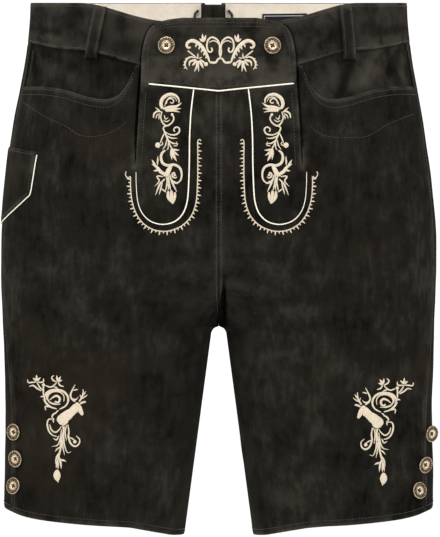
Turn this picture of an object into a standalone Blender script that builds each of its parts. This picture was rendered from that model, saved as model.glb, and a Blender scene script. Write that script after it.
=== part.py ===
"""Short leather breeches with a fall front, modelled as they are filled out in wear.

Units in the tables are millimetres. X runs towards the wearer's left, -Y is the front and Z is up.
The origin is the centre of the waist, level with the top edge of the waistband at the sides.
A place on the garment is an angle round one half of it (0 centre front, 90 side, 180 centre back,
beyond those on the inner thigh) and a height. Every piece is laid out from such places, moved out or in.
"""

import math

import bmesh
import bpy
from mathutils import Quaternion, Vector

MM = 0.001

# Leather and gaps
HIDE = 1.8
SEAM = 0.3
LINING = 1.0
LABEL = 0.6
LOOP_HIDE = 1.5
WELD = 1e-5

# The form: half width, middle of the depth, and the reach to the front and back of that middle
SECTION_COLUMNS = ("height", "side", "middle", "front", "back")
SECTIONS = (
    (12, 178.4, 0, 104.0, 104.0),
    (-16, 179.2, 0, 106.0, 106.0),
    (-47, 182.4, 0, 108.5, 108.0),
    (-79, 188.0, 0, 111.0, 112.0),
    (-105, 193.0, 0, 113.0, 117.0),
    (-137, 197.8, 0, 114.5, 121.5),
    (-174, 202.5, 0, 114.5, 125.0),
    (-211, 205.8, 1, 113.0, 126.0),
    (-254, 206.3, 4, 107.0, 121.5),
    (-307, 204.6, 7, 93.0, 111.0),
    (-359, 203.3, 8, 86.0, 99.0),
    (-422, 203.1, 8, 79.0, 87.0),
    (-506, 203.6, 8, 73.0, 78.0),
)
FULLNESS = 2.2
CROTCH = -307.0
RISE_START, RISE_POWER, RISE_EASE = -205.0, 2.3, 2.0
LEG_SPREAD = 0.1335
ARCH_RADIUS, ARCH_NARROW = 6.6, 6

# Waistband, hem and side seam
WAIST_TILT = 6.7
WAIST_DIP = 17.0
DIP_FROM, DIP_TO = 46.0, 14.0
BAND_DEPTH, BAND_EXTRA = 38.0, 6.0
HEM_COLUMNS = ("angle", "height")
HEM = (
    (-90.0, -505.0),
    (-60.0, -503.4),
    (-44.0, -500.5),
    (-29.0, -497.0),
    (-20.0, -494.9),
    (8.0, -491.9),
    (37.0, -487.9),
    (52.0, -484.9),
    (66.0, -481.4),
    (90.0, -478.0),
)
HEM_SAMPLE = -495.0
SEAM_ANGLE_TOP, SEAM_ANGLE_HEM = 78.0, 63.0
SEAM_TURN_FROM, SEAM_TURN_TO = -240.0, -430.0

# Rows and columns of the walls: seams and what lies over or under a wall share its columns
LEG_HEIGHTS = (
    -159.0, -180.0, -200.0, -220.0, -240.0, -260.0, -278.0, -292.0, -302.0,
    -307.0, -308.5, -312.0, -320.0, -336.0,
)
LOWER_LEG_ROWS = 5
LEG_ROWS = len(LEG_HEIGHTS) - 1 + LOWER_LEG_ROWS
FLAP_ANGLES = (0, 5, 10, 15, 20, 22.9)
SIDE_ANGLES = (22.9, 24.5, 27.2, 30, 35, 40, 45, 50, 55, 60, 65, 70, 75, 78)
BACK_ANGLES = (78, 82, 86, 90, 95, 100, 106, 113, 121, 130, 139, 148, 157, 165, 171.5, 176.5, 180)
BACK_TOP_HEIGHTS = (-62.0, -90.0, -125.0, -159.0)
FLAP_ROW_SHARES = (0.0, 0.12, 0.24, 0.40, 0.70, 1.0)
SIDE_ROW_SHARES = (0.0, 0.304, 0.53, 0.76, 1.0)
WAIST_STEP = 5.0

# Fall front
FLAP_LIFT = 2.3
FLAP_FREE_TO, SLIT_END = -130.0, LEG_HEIGHTS[0]
FLAP_CLEAR = 0.8
UNDERLAP_ANGLE = 15.5
BAR_CENTRE, BAR_SLOPE, BAR_END_X = -88.6, 0.105, 66.5
FLAP_EDGE_COLUMNS = ("height", "angle")
FLAP_EDGE = (
    (-20.5, 11.0),
    (-22.0, 14.8),
    (-24.6, 18.0),
    (-30.5, 20.7),
    (-40.7, 22.1),
    (-56.5, 22.8),
)

# Pocket mouth, from the waistband beside the flap to the side seam
POCKET_COLUMNS = ("angle", "height")
POCKET_MOUTH = (
    (24.5, -63.6),
    (25.6, -73.0),
    (27.0, -82.5),
    (29.2, -91.0),
    (32.6, -95.2),
    (38.5, -93.4),
    (44.0, -89.4),
    (50.0, -85.4),
    (57.0, -82.8),
    (64.0, -81.6),
    (71.0, -81.0),
    (78.0, -80.6),
)
FACING_ANGLES = (24.1, 27.2, 30, 35, 40, 45, 50, 55, 60, 65, 70, 75, 77.2)
FACING_TUCK, FACING_DROP, FACING_DIP = 8.0, 12.0, 3.2

# Knife pocket on the wearer's right thigh
KNIFE_COLUMNS = ("angle", "top", "bottom")
KNIFE_POCKET = (
    (60, -144.0, -183.5),
    (65, -142.6, -188.4),
    (70, -141.2, -193.3),
    (75, -140.0, -198.2),
    (78, -139.3, -201.2),
    (82, -138.6, -205.2),
    (86, -138.2, -209.2),
    (90, -138.0, -205.0),
    (95, -138.0, -199.0),
    (100, -138.2, -193.0),
)
KNIFE_HIDE = 1.5
KNIFE_PIPING_FROM, KNIFE_SIDE_STEPS = 4.0, 5

# Piping
PIPING_RADIUS = 0.9
U_COLUMNS = ("x", "height")
U_PIPING = (
    (25.2, -87.6),
    (27.6, -108.0),
    (28.8, -130.0),
    (29.3, -156.0),
    (30.2, -180.0),
    (31.6, -192.0),
    (35.5, -202.0),
    (43.0, -209.0),
    (53.8, -211.4),
    (64.5, -208.4),
    (72.0, -201.0),
    (76.0, -190.5),
    (77.4, -176.0),
    (77.6, -163.0),
)

# Belt loops: which side, angle at the top and at the bottom, end height, and the hide that end lies on
LOOP_COLUMNS = ("name", "side", "top_angle", "end_angle", "end_height", "end_lift")
BELT_LOOPS = (
    ("belt_loop_front_right", -1, 37.7, 40.4, -59.0, -2.1),
    ("belt_loop_front_left", 1, 40.9, 41.4, -60.0, -2.1),
    ("belt_loop_back_right", -1, 138.0, 138.0, -44.0, 0.0),
    ("belt_loop_back_left", 1, 138.0, 138.0, -44.0, 0.0),
)
LOOP_WIDTH, LOOP_RISE = 12.4, 2.4

# Lacing notch at the back, its sizes measured from its own centre
NOTCH_CENTRE = -5.4
NOTCH_TOP, NOTCH_FOOT = 8.0, 2.0
NOTCH_FOOT_HEIGHT = -31.0
LINING_NOTCH, LINING_INSET = 11.5, 0.9
GUSSET_COLUMNS = ("x", "inset")
GUSSET_HALF = (
    (10.7, 2.9),
    (8.6, 2.9),
    (8.0, 4.4),
    (9.6, 5.8),
    (11.6, 7.6),
    (11.2, 10.4),
    (8.2, 12.2),
    (4.6, 11.6),
    (2.4, 8.8),
    (0.0, 5.4),
)
GUSSET_HIDE, GUSSET_TOP, GUSSET_FOOT, GUSSET_FOOT_SCALE = 1.4, 5.6, -46.0, 0.35
EYELET_X, EYELET_HIGH, EYELET_LOW, EYELET_RADIUS = 15.2, -1.0, -13.5, 2.0
LACE_RADIUS, LACE_OUT, LACE_IN, LACE_BULGE = 1.2, 1.8, 4.9, 3.0
KNOT_SIZE, KNOT_LIFT, KNOT_HEIGHT = (3.6, 2.1, 2.9), 2.6, -13.5
LACE_END_SPREAD, LACE_END_LIFT = 6.5, 1.9
LACE_END_LENGTHS = {1: 20.0, -1: 24.0}

# Label on the lining at the back
LABEL_ANGLES, LABEL_HEIGHTS = (151.0, 166.2), (-4.0, -31.0)

# Buttons: side, angle, height, hide they sit on, and how far each leans forward on its thread
BUTTON_COLUMNS = ("name", "side", "angle", "height", "lift", "lean")
BUTTONS = (
    ("button_flap_right", -1, 15.2, -46.3, 2.3, 0.0),
    ("button_flap_left", 1, 15.6, -46.5, 2.3, 0.0),
    ("button_hem_right_1", -1, 60.6, -406.0, 0.0, 17.0),
    ("button_hem_right_2", -1, 58.2, -431.0, 0.0, 15.0),
    ("button_hem_right_3", -1, 60.2, -457.0, 0.0, 17.0),
    ("button_hem_left_1", 1, 72.0, -408.0, 0.0, 14.0),
    ("button_hem_left_2", 1, 61.6, -436.5, 0.0, 15.0),
    ("button_hem_left_3", 1, 54.5, -461.0, 0.0, 12.0),
)
BUTTON_SIDES = 16
STEM_RADIUS = 1.8
PROFILE_COLUMNS = ("radius", "height")
BUTTON_PROFILE = (
    (0.0, 2.9),
    (3.6, 3.0),
    (5.0, 3.9),
    (7.0, 4.1),
    (8.0, 3.2),
    (6.8, 2.0),
    (2.2, 1.8),
    (STEM_RADIUS, SEAM),
    (0.0, SEAM),
)

# Colours: linear base colour, roughness, metallic
FINISHES = {
    "suede": ((0.020, 0.018, 0.015), 0.95, 0.0),
    "lining": ((0.72, 0.62, 0.48), 0.90, 0.0),
    "label": ((0.012, 0.013, 0.020), 0.80, 0.0),
    "piping": ((0.78, 0.74, 0.64), 0.70, 0.0),
    "lace": ((0.012, 0.010, 0.009), 0.85, 0.0),
    "metal": ((0.30, 0.19, 0.10), 0.42, 1.0),
}


def smooth_step(share):
    share = min(1.0, max(0.0, share))
    return share * share * (3.0 - 2.0 * share)


def table_value(rows, columns, along, wanted, at):
    """Value of one named column at a place along another, on a smooth curve through the rows."""
    i, j = columns.index(along), columns.index(wanted)
    rows = sorted((row[i], row[j]) for row in rows)
    if at <= rows[0][0]:
        return rows[0][1]
    if at >= rows[-1][0]:
        return rows[-1][1]
    k = next(n for n in range(1, len(rows)) if rows[n][0] >= at)
    (x0, y0), (x1, y1) = rows[k - 1], rows[k]
    before, after = rows[max(k - 2, 0)], rows[min(k + 1, len(rows) - 1)]
    span = x1 - x0
    rise0 = (y1 - before[1]) / (x1 - before[0]) * span
    rise1 = (after[1] - y0) / (after[0] - x0) * span
    t = (at - x0) / span
    return (
        (2 * t**3 - 3 * t**2 + 1) * y0
        + (t**3 - 2 * t**2 + t) * rise0
        + (3 * t**2 - 2 * t**3) * y1
        + (t**3 - t**2) * rise1
    )


def named_rows(columns, rows):
    """Rows of a table as dictionaries, so that a value is read by its column's name."""
    return [dict(zip(columns, row)) for row in rows]


def section(height, column):
    return table_value(SECTIONS, SECTION_COLUMNS, "height", column, height)


def arch(height):
    """How far the round top of the gap between the legs pushes the inseam aside."""
    share = min(1.0, max(0.0, (CROTCH - height) / ARCH_RADIUS))
    return ARCH_RADIUS * math.sqrt(1 - (1 - share) ** 2)


def rise_share(height):
    """0 where the section is one smooth round, 1 at the crotch, where it has become two legs."""
    down = min(1.0, max(0.0, (RISE_START - height) / (RISE_START - CROTCH)))
    return 1 - (1 - down**RISE_POWER) ** RISE_EASE


def half_width(height):
    """Centre and reach across of one half's section."""
    side = section(height, "side")
    if height < CROTCH:
        centre = (side + LEG_SPREAD * (CROTCH - height)) / 2
    else:
        share = rise_share(height)
        centre = side * share / (1 + share)
    return centre, side - centre


def inner_angle(height, at_front):
    """Angle where a half meets the centre seam or, below the crotch, the inseam."""
    turn = math.degrees(math.asin(rise_share(height)))
    return -turn if at_front else 180 + turn


def form_point(angle, height):
    at_front = angle <= 90
    centre, reach = half_width(height)
    across = math.sin(math.radians(angle))
    depth = section(height, "front" if at_front else "back")
    depth *= (1 - min(1.0, abs(across)) ** FULLNESS) ** (1 / FULLNESS)
    y = section(height, "middle") + (-depth if at_front else depth)
    x = centre + reach * across + arch(height) * ((1 - across) / 2) ** ARCH_NARROW
    return Vector((x, y, height))


def form_normal(angle, height):
    along = form_point(angle + 0.4, height) - form_point(angle - 0.4, height)
    upward = form_point(angle, height + 0.5) - form_point(angle, height - 0.5)
    return along.cross(upward).normalized()


def place(side, angle, height, lift=0.0, gap=SEAM / 2):
    """World point on the garment: the wearer's left is side 1, lift is the distance out from the form."""
    point = form_point(angle, height) + lift * form_normal(angle, height)
    return Vector((side * (point.x + gap), point.y, point.z)) * MM


def direction(side, angle, height):
    normal = form_normal(angle, height)
    return Vector((side * normal.x, normal.y, normal.z))


def angle_at(x, height, at_front=True):
    centre, reach = half_width(height)
    angle = math.degrees(math.asin(max(-1.0, min(1.0, (x - centre) / reach))))
    return angle if at_front else 180 - angle


def waist_top(angle):
    dip = smooth_step((DIP_FROM - angle) / (DIP_FROM - DIP_TO))
    return -WAIST_TILT * math.cos(math.radians(angle)) - WAIST_DIP * dip


def band_foot(angle):
    return waist_top(angle) - BAND_DEPTH - BAND_EXTRA * smooth_step((80 - angle) / 35)


def seam_angle(height):
    turn = smooth_step((SEAM_TURN_FROM - height) / (SEAM_TURN_FROM - SEAM_TURN_TO))
    return SEAM_ANGLE_TOP + (SEAM_ANGLE_HEM - SEAM_ANGLE_TOP) * turn


def hem_height(angle):
    return table_value(HEM, HEM_COLUMNS, "angle", "height", min(angle, 180 - angle))


def bar_height(x):
    return BAR_CENTRE + BAR_SLOPE * abs(x)


def flap_lift(height):
    return FLAP_LIFT * smooth_step((height - SLIT_END) / (FLAP_FREE_TO - SLIT_END))


def material(name):
    made = bpy.data.materials.get(name)
    if made is None:
        colour, roughness, metallic = FINISHES[name]
        made = bpy.data.materials.new(name)
        made.use_nodes = True
        shader = made.node_tree.nodes["Principled BSDF"]
        shader.inputs["Base Color"].default_value = (*colour, 1.0)
        shader.inputs["Roughness"].default_value = roughness
        shader.inputs["Metallic"].default_value = metallic
    return made


def add_object(name, data, finish, collection):
    made = bpy.data.objects.new(name, data)
    made.data.materials.append(material(finish))
    collection.objects.link(made)
    return made


def mesh_object(name, mesh, finish, collection, smooth_angle=None):
    data = bpy.data.meshes.new(name)
    mesh.to_mesh(data)
    mesh.free()
    made = add_object(name, data, finish, collection)
    if smooth_angle is not None:
        data.shade_smooth()
        data.set_sharp_from_angle(angle=math.radians(smooth_angle))
    return made


def face_outwards(mesh):
    bmesh.ops.recalc_face_normals(mesh, faces=mesh.faces)
    if mesh.calc_volume(signed=True) < 0:
        bmesh.ops.reverse_faces(mesh, faces=mesh.faces)


def sheet(name, patches, finish, collection, outer=0.0, thickness=HIDE, gap=SEAM / 2):
    """A wall of leather or cloth. Each patch is (columns, rows, spot), where spot turns two shares from 0
    to 1 into (side, angle, height, lift). Patches weld where they meet, then the wall is grown inwards."""
    mesh = bmesh.new()
    keys = [mesh.verts.layers.float.new(key) for key in ("side", "angle", "height", "lift")]
    for columns, rows, spot in patches:
        grid = bmesh.ops.create_grid(mesh, x_segments=columns, y_segments=rows, size=0.5)
        for vert in grid["verts"]:
            values = spot(vert.co.x + 0.5, vert.co.y + 0.5)
            for key, value in zip(keys, values):
                vert[key] = value
            side, angle, height, lift = values
            vert.co = place(side, angle, height, outer + lift, gap)
    bmesh.ops.remove_doubles(mesh, verts=mesh.verts, dist=WELD)
    grown = bmesh.ops.extrude_face_region(mesh, geom=list(mesh.faces), use_keep_orig=True)
    for vert in grown["geom"]:
        if isinstance(vert, bmesh.types.BMVert):
            side, angle, height, lift = (vert[key] for key in keys)
            vert.co = place(side, angle, height, outer + lift - thickness, gap)
    face_outwards(mesh)
    return mesh_object(name, mesh, finish, collection, smooth_angle=40)


def mix(low, high, share):
    return low + (high - low) * share


def stepped(values, share):
    """The table's own values at even shares, for grids whose columns aren't evenly spaced."""
    at = share * (len(values) - 1)
    k = min(int(at), len(values) - 2)
    return mix(values[k], values[k + 1], at - k)


def pocket_height(angle):
    return table_value(POCKET_MOUTH, POCKET_COLUMNS, "angle", "height", angle)


def piece_half(side):
    return "left" if side > 0 else "right"


def turned(angle, height, distance):
    """The angle that lies a distance round the form from another."""
    return angle + distance / (form_point(angle + 0.5, height) - form_point(angle - 0.5, height)).length


def leg_row(angle_of, share):
    """Height of a leg row at one place: level rows down to the thigh, then rows that turn into the hem."""
    level_rows = len(LEG_HEIGHTS) - 1
    at = share * LEG_ROWS
    if at <= level_rows:
        return stepped(LEG_HEIGHTS, at / level_rows)
    down = (at - level_rows) / LOWER_LEG_ROWS
    return mix(LEG_HEIGHTS[-1], hem_height(angle_of(HEM_SAMPLE)), down)


def front_angle(angle, height):
    """Where a column of the front, named by its angle at the waist, stands lower down."""
    edge = turned(seam_angle(height), height, -SEAM / 2)
    return mix(inner_angle(height, True), edge, angle / SIDE_ANGLES[-1])


def back_angle(angle, height):
    edge = turned(seam_angle(height), height, SEAM / 2)
    first, last = BACK_ANGLES[0], BACK_ANGLES[-1]
    return mix(edge, inner_angle(height, False), (angle - first) / (last - first))


def front_leg(side, collection):
    """Front with the lower half of the fall flap cut in one, slit beside it, and an underlap behind it."""
    columns = FLAP_ANGLES + SIDE_ANGLES[1:]

    def leg_spot(u, v):
        column = stepped(columns, u)
        height = leg_row(lambda height: front_angle(column, height), v)
        return side, front_angle(column, height), height, flap_lift(height)

    def flap_spot(u, v):
        rise = stepped(FLAP_ROW_SHARES, v)
        column = stepped(FLAP_ANGLES, u)
        angle = front_angle(column, SLIT_END)
        if rise > 0 and u > 0.999:
            angle = turned(angle, SLIT_END, -FLAP_CLEAR)
        top = bar_height(form_point(angle, BAR_CENTRE).x) - SEAM / 2
        height = mix(SLIT_END, top, rise)
        return side, angle, height, flap_lift(height)

    def side_top(angle):
        at_flap = angle <= front_angle(SIDE_ANGLES[0], SLIT_END) + 0.01
        return band_foot(angle) - SEAM if at_flap else pocket_height(angle)

    def side_spot(u, v):
        angle = front_angle(stepped(SIDE_ANGLES, u), SLIT_END)
        return side, angle, mix(SLIT_END, side_top(angle), stepped(SIDE_ROW_SHARES, v)), 0.0

    def underlap_spot(u, v):
        angle = mix(UNDERLAP_ANGLE, front_angle(SIDE_ANGLES[0], SLIT_END), u)
        top = band_foot(angle) - SEAM
        return side, angle, mix(SLIT_END, top, stepped(SIDE_ROW_SHARES[1:], v)), 0.0

    patches = (
        (len(columns) - 1, LEG_ROWS, leg_spot),
        (len(FLAP_ANGLES) - 1, len(FLAP_ROW_SHARES) - 1, flap_spot),
        (len(SIDE_ANGLES) - 1, len(SIDE_ROW_SHARES) - 1, side_spot),
        (2, len(SIDE_ROW_SHARES) - 2, underlap_spot),
    )
    return sheet(f"front_{piece_half(side)}", patches, "suede", collection)


def back_leg(side, collection):
    upper = len(BACK_TOP_HEIGHTS)
    rows = upper + LEG_ROWS

    def spot(u, v):
        column = stepped(BACK_ANGLES, u)
        at = v * rows
        if at >= upper:
            height = leg_row(lambda height: back_angle(column, height), (at - upper) / LEG_ROWS)
        else:
            top = band_foot(column) - SEAM
            height = stepped((top, *BACK_TOP_HEIGHTS), at / upper)
        return side, back_angle(column, height), height, 0.0

    return sheet(f"back_{piece_half(side)}", ((len(BACK_ANGLES) - 1, rows, spot),), "suede", collection)


def notch_edge(side, height):
    """Angle of the waistband's edge at the lacing notch, which sits a little off the centre."""
    share = (height - NOTCH_FOOT_HEIGHT) / (WAIST_TILT - NOTCH_FOOT_HEIGHT)
    opening = mix(NOTCH_FOOT, NOTCH_TOP, min(1.0, max(0.0, share)))
    return angle_at(opening + side * NOTCH_CENTRE, height, at_front=False)


def waistband(side, collection):
    columns = [WAIST_STEP * k for k in range(int(180 / WAIST_STEP))]

    def spot(u, v):
        column = stepped((*columns, 180.0), u)
        height = mix(waist_top(column), band_foot(column), v)
        if column > columns[-1]:
            last = notch_edge(side, height)
            column = mix(columns[-1], last, (column - columns[-1]) / WAIST_STEP)
        return side, column, height, 0.0

    return sheet(f"waistband_{piece_half(side)}", ((len(columns), 3, spot),), "suede", collection)


def waist_lining(side, collection):
    columns = [90.0 + WAIST_STEP * k for k in range(int(90 / WAIST_STEP) - 1)]

    def spot(u, v):
        column = stepped((*columns, 180.0), u)
        height = mix(waist_top(column) - LINING_INSET, band_foot(column) + LINING_INSET, v)
        if column > columns[-1]:
            column = angle_at(LINING_NOTCH + side * NOTCH_CENTRE, height, at_front=False)
        return side, column, height, 0.0

    name = f"waist_lining_{piece_half(side)}"
    patch = (len(columns), 2, spot)
    return sheet(name, (patch,), "lining", collection, outer=-HIDE - SEAM, thickness=LINING)


def label(collection):
    def spot(u, v):
        return 1, mix(*LABEL_ANGLES, u), mix(*LABEL_HEIGHTS, v), 0.0

    outer = -HIDE - 2 * SEAM - LINING
    return sheet("label", ((5, 2, spot),), "label", collection, outer=outer, thickness=LABEL)


def pocket_facing(side, collection):
    """The piece seen inside the pocket mouth, tucked behind the waistband and the front."""

    def spot(u, v):
        angle = stepped(FACING_ANGLES, u)
        foot, mouth = band_foot(angle), pocket_height(angle)
        height = mix(foot + FACING_TUCK, mouth - FACING_DROP, v)
        hollow = math.sin(math.pi * v) * math.sin(math.pi * u)
        return side, angle, height, -FACING_DIP * hollow

    name = f"pocket_facing_{piece_half(side)}"
    patch = (len(FACING_ANGLES) - 1, 6, spot)
    return sheet(name, (patch,), "suede", collection, outer=-HIDE - SEAM, thickness=HIDE)


def flap_band(collection):
    """Top band of the fall flap, above the piping bar, with round upper corners."""
    heights = tuple(row[0] for row in FLAP_EDGE)
    columns = tuple(-angle for angle in reversed(FLAP_ANGLES)) + FLAP_ANGLES[1:]
    widest = FLAP_ANGLES[-1]

    def spot(u, v):
        across = stepped(columns, u) / widest
        at = v * len(heights)
        if at <= len(heights) - 1:
            height = stepped(heights, at / (len(heights) - 1))
            edge = table_value(FLAP_EDGE, FLAP_EDGE_COLUMNS, "height", "angle", height)
            angle = abs(across) * edge
        else:
            angle = abs(across) * turned(widest, BAR_CENTRE, -FLAP_CLEAR)
            foot = bar_height(form_point(angle, BAR_CENTRE).x) + SEAM / 2
            height = mix(heights[-1], foot, at - (len(heights) - 1))
        return (1 if across >= 0 else -1), angle, height, 0.0

    patch = (len(columns) - 1, len(heights), spot)
    return sheet("flap_band", (patch,), "suede", collection, outer=FLAP_LIFT, gap=0.0)


def thigh_angle(angle, height):
    """A column of the front up to the side seam and of the back beyond it."""
    if angle <= SIDE_ANGLES[-1]:
        return front_angle(angle, height)
    return back_angle(angle, height)


def knife_pocket(collection):
    rows = named_rows(KNIFE_COLUMNS, KNIFE_POCKET)
    angles, tops, bottoms = (tuple(row[column] for row in rows) for column in KNIFE_COLUMNS)

    def spot(u, v):
        height = mix(stepped(tops, u), stepped(bottoms, u), v)
        return -1, thigh_angle(stepped(angles, u), height), height, 0.0

    patch = (len(angles) - 1, 4, spot)
    outer = KNIFE_HIDE + SEAM
    return sheet("knife_pocket", (patch,), "suede", collection, outer=outer, thickness=KNIFE_HIDE)


def belt_loop(name, side, top_angle, end_angle, end_height, end_lift, collection):
    top = waist_top(top_angle) - 1.0
    centre_reach = (form_point(top_angle + 1, top) - form_point(top_angle - 1, top)).length / 2

    def spot(u, v):
        height = mix(top, end_height, v)
        half = LOOP_WIDTH / 2 / centre_reach
        angle = mix(top_angle, end_angle, v) + mix(-half, half, u)
        if v > 0.999:
            stand_off = end_lift
        else:
            stand_off = LOOP_RISE * math.sin(math.pi * min(1.0, v / 0.9)) ** 0.5 if v < 0.9 else 0.0
            if end_lift < 0 and v > 0.9:
                stand_off = end_lift * (v - 0.9) / 0.1
        return side, angle, height, stand_off

    outer = SEAM + LOOP_HIDE
    return sheet(name, ((2, 12, spot),), "suede", collection, outer=outer, thickness=LOOP_HIDE)


def poly_tube(name, points, radius, finish, collection, resolution=1):
    curve = bpy.data.curves.new(name, "CURVE")
    curve.dimensions = "3D"
    curve.bevel_depth = radius * MM
    curve.bevel_resolution = resolution
    curve.use_fill_caps = True
    spline = curve.splines.new("POLY")
    spline.points.add(len(points) - 1)
    for knot, point in zip(spline.points, points):
        knot.co = (*point, 1.0)
    return add_object(name, curve, finish, collection)


def even_points(points, step):
    """Points every step along a smooth curve through the given ones."""
    fine = []
    for k in range(len(points) - 1):
        before = points[max(k - 1, 0)]
        after = points[min(k + 2, len(points) - 1)]
        for n in range(12):
            t = n / 12
            fine.append(
                0.5 * ((2 * points[k]) + (points[k + 1] - before) * t
                + (2 * before - 5 * points[k] + 4 * points[k + 1] - after) * t**2
                + (3 * points[k] - before - 3 * points[k + 1] + after) * t**3)
            )
    fine.append(points[-1].copy())
    total = sum((b - a).length for a, b in zip(fine, fine[1:]))
    count = max(2, round(total / step))
    kept, walked, wanted = [fine[0]], 0.0, total / count
    for a, b in zip(fine, fine[1:]):
        length = (b - a).length
        while walked + length >= wanted - 1e-9 and len(kept) < count:
            kept.append(a.lerp(b, (wanted - walked) / length))
            wanted += total / count
        walked += length
    kept.append(fine[-1])
    return kept


def front_spot(side, x, height, lift):
    return place(side, angle_at(x, height), height, lift, gap=0.0)


def piping(collection):
    clear = SEAM + PIPING_RADIUS
    bar = []
    for k in range(-8, 9):
        x = BAR_END_X * k / 8
        bar.append(front_spot(1 if x >= 0 else -1, abs(x), bar_height(x), FLAP_LIFT + clear))
    poly_tube("piping_bar", bar, PIPING_RADIUS, "piping", collection)
    below_bar = 2 * PIPING_RADIUS + SEAM
    for side in (1, -1):
        route = [Vector((row["x"], 0.0, row["height"])) for row in named_rows(U_COLUMNS, U_PIPING)]
        route[0].z = bar_height(route[0].x) - below_bar
        flat = even_points(route, 7.5)
        points = [front_spot(side, p.x, p.z, flap_lift(p.z) + clear) for p in flat]
        poly_tube(f"piping_u_{piece_half(side)}", points, PIPING_RADIUS, "piping", collection)
    rows = named_rows(KNIFE_COLUMNS, KNIFE_POCKET)
    down_one_side = [
        (row["angle"], mix(row["top"] - KNIFE_PIPING_FROM, row["bottom"], k / KNIFE_SIDE_STEPS))
        for row in (rows[0], rows[-1])
        for k in range(KNIFE_SIDE_STEPS)
    ]
    outline = down_one_side[:KNIFE_SIDE_STEPS]
    outline += [(row["angle"], row["bottom"]) for row in rows]
    outline += reversed(down_one_side[KNIFE_SIDE_STEPS:])
    route = []
    for column, height in outline:
        angle = thigh_angle(column, height)
        route.append((place(-1, angle, height, clear), direction(-1, angle, height)))
    points = beside(route, clear * MM)
    poly_tube("piping_knife_pocket", points, PIPING_RADIUS, "piping", collection)


def beside(route, distance):
    """Points of a route of (point, outward normal) pairs, moved to its left with mitred corners."""
    moved = []
    for k, (point, normal) in enumerate(route):
        steps = [route[n + 1][0] - route[n][0] for n in (k - 1, k) if 0 <= n < len(route) - 1]
        sides = [normal.cross(step).normalized() for step in steps]
        mean = sum(sides, Vector()) / len(sides)
        moved.append(point + mean * distance / mean.length_squared)
    return moved


def gusset(collection):
    """Soft leather folded into two pleats behind the lacing notch."""
    half = [(row["x"], row["inset"]) for row in named_rows(GUSSET_COLUMNS, GUSSET_HALF)]
    path = half + [(-x, inset) for x, inset in reversed(half[:-1])]
    outermost = half[0][1]
    rows = 4
    mesh = bmesh.new()
    grid = bmesh.ops.create_grid(mesh, x_segments=len(path) - 1, y_segments=rows, size=0.5)
    for vert in grid["verts"]:
        k = round((vert.co.x + 0.5) * (len(path) - 1))
        v = vert.co.y + 0.5
        fullness = mix(GUSSET_FOOT_SCALE, 1.0, v)
        across, inset = path[k]
        inset = outermost + (inset - outermost) * fullness
        vert.co = back_spot(across * fullness, mix(GUSSET_FOOT, GUSSET_TOP, v), -inset)
    bmesh.ops.recalc_face_normals(mesh, faces=mesh.faces)
    made = mesh_object("lacing_gusset", mesh, "suede", collection, smooth_angle=60)
    grown = made.modifiers.new("thickness", "SOLIDIFY")
    grown.thickness = GUSSET_HIDE * MM
    grown.offset = 0.0
    grown.use_even_offset = True
    return made


def cylinder(name, centre, axis, radius, length, collection, sides=10):
    mesh = bmesh.new()
    bmesh.ops.create_cone(
        mesh, cap_ends=True, segments=sides, radius1=radius * MM, radius2=radius * MM, depth=length * MM
    )
    made = mesh_object(name, mesh, "metal", collection)
    made.location = centre
    made.rotation_mode = "QUATERNION"
    made.rotation_quaternion = axis.to_track_quat("Z", "Y")
    return made


def cut(body, cutter):
    hole = body.modifiers.new(cutter.name, "BOOLEAN")
    hole.operation = "DIFFERENCE"
    hole.solver = "MANIFOLD"
    hole.object = cutter


def back_spot(across, height, lift):
    """Place measured across the back from the middle of the notch."""
    x = across + NOTCH_CENTRE
    side = 1 if x >= 0 else -1
    return place(side, angle_at(abs(x), height, at_front=False), height, lift, gap=0.0)


def lace(collection, cutters, bands, linings):
    """A leather lace: from the knot in at the low eyelets, out at the high ones and across."""
    for side, band, lining in zip((1, -1), bands, linings):
        for level, height in (("high", EYELET_HIGH), ("low", EYELET_LOW)):
            centre = back_spot(side * EYELET_X, height, -HIDE)
            axis = back_spot(side * EYELET_X, height, 1.0) - centre
            hole = cylinder(f"eyelet_{piece_half(side)}_{level}", centre, axis, EYELET_RADIUS, 14.0, cutters)
            hole.hide_render = True
            hole.display_type = "WIRE"
            cut(band, hole)
            cut(lining, hole)
    high, low, middle = EYELET_HIGH, EYELET_LOW, (EYELET_HIGH + EYELET_LOW) / 2
    half = [
        (KNOT_SIZE[0] + SEAM + 0.8, low, KNOT_LIFT - 0.4),
        (9.6, low - 0.3, LACE_OUT + 0.4),
        (13.4, low, LACE_OUT - 0.2),
        (EYELET_X, low, -0.6),
        (EYELET_X, low, -2.6),
        (EYELET_X + 0.7, low + 0.4, -LACE_IN),
        (EYELET_X + LACE_BULGE, middle - 2.6, -LACE_IN - 0.6),
        (EYELET_X + LACE_BULGE, middle + 2.6, -LACE_IN - 0.6),
        (EYELET_X + 0.7, high - 0.4, -LACE_IN),
        (EYELET_X, high, -2.6),
        (EYELET_X, high, -0.6),
        (13.4, high, LACE_OUT - 0.2),
        (9.0, high - 0.6, LACE_OUT + 0.2),
        (3.0, high - 1.0, LACE_OUT + 0.2),
    ]
    route = half + [(-x, height, lift) for x, height, lift in reversed(half)]
    points = even_points([back_spot(*spot) for spot in route], 2.6 * MM)
    poly_tube("lace", points, LACE_RADIUS, "lace", collection)


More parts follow.
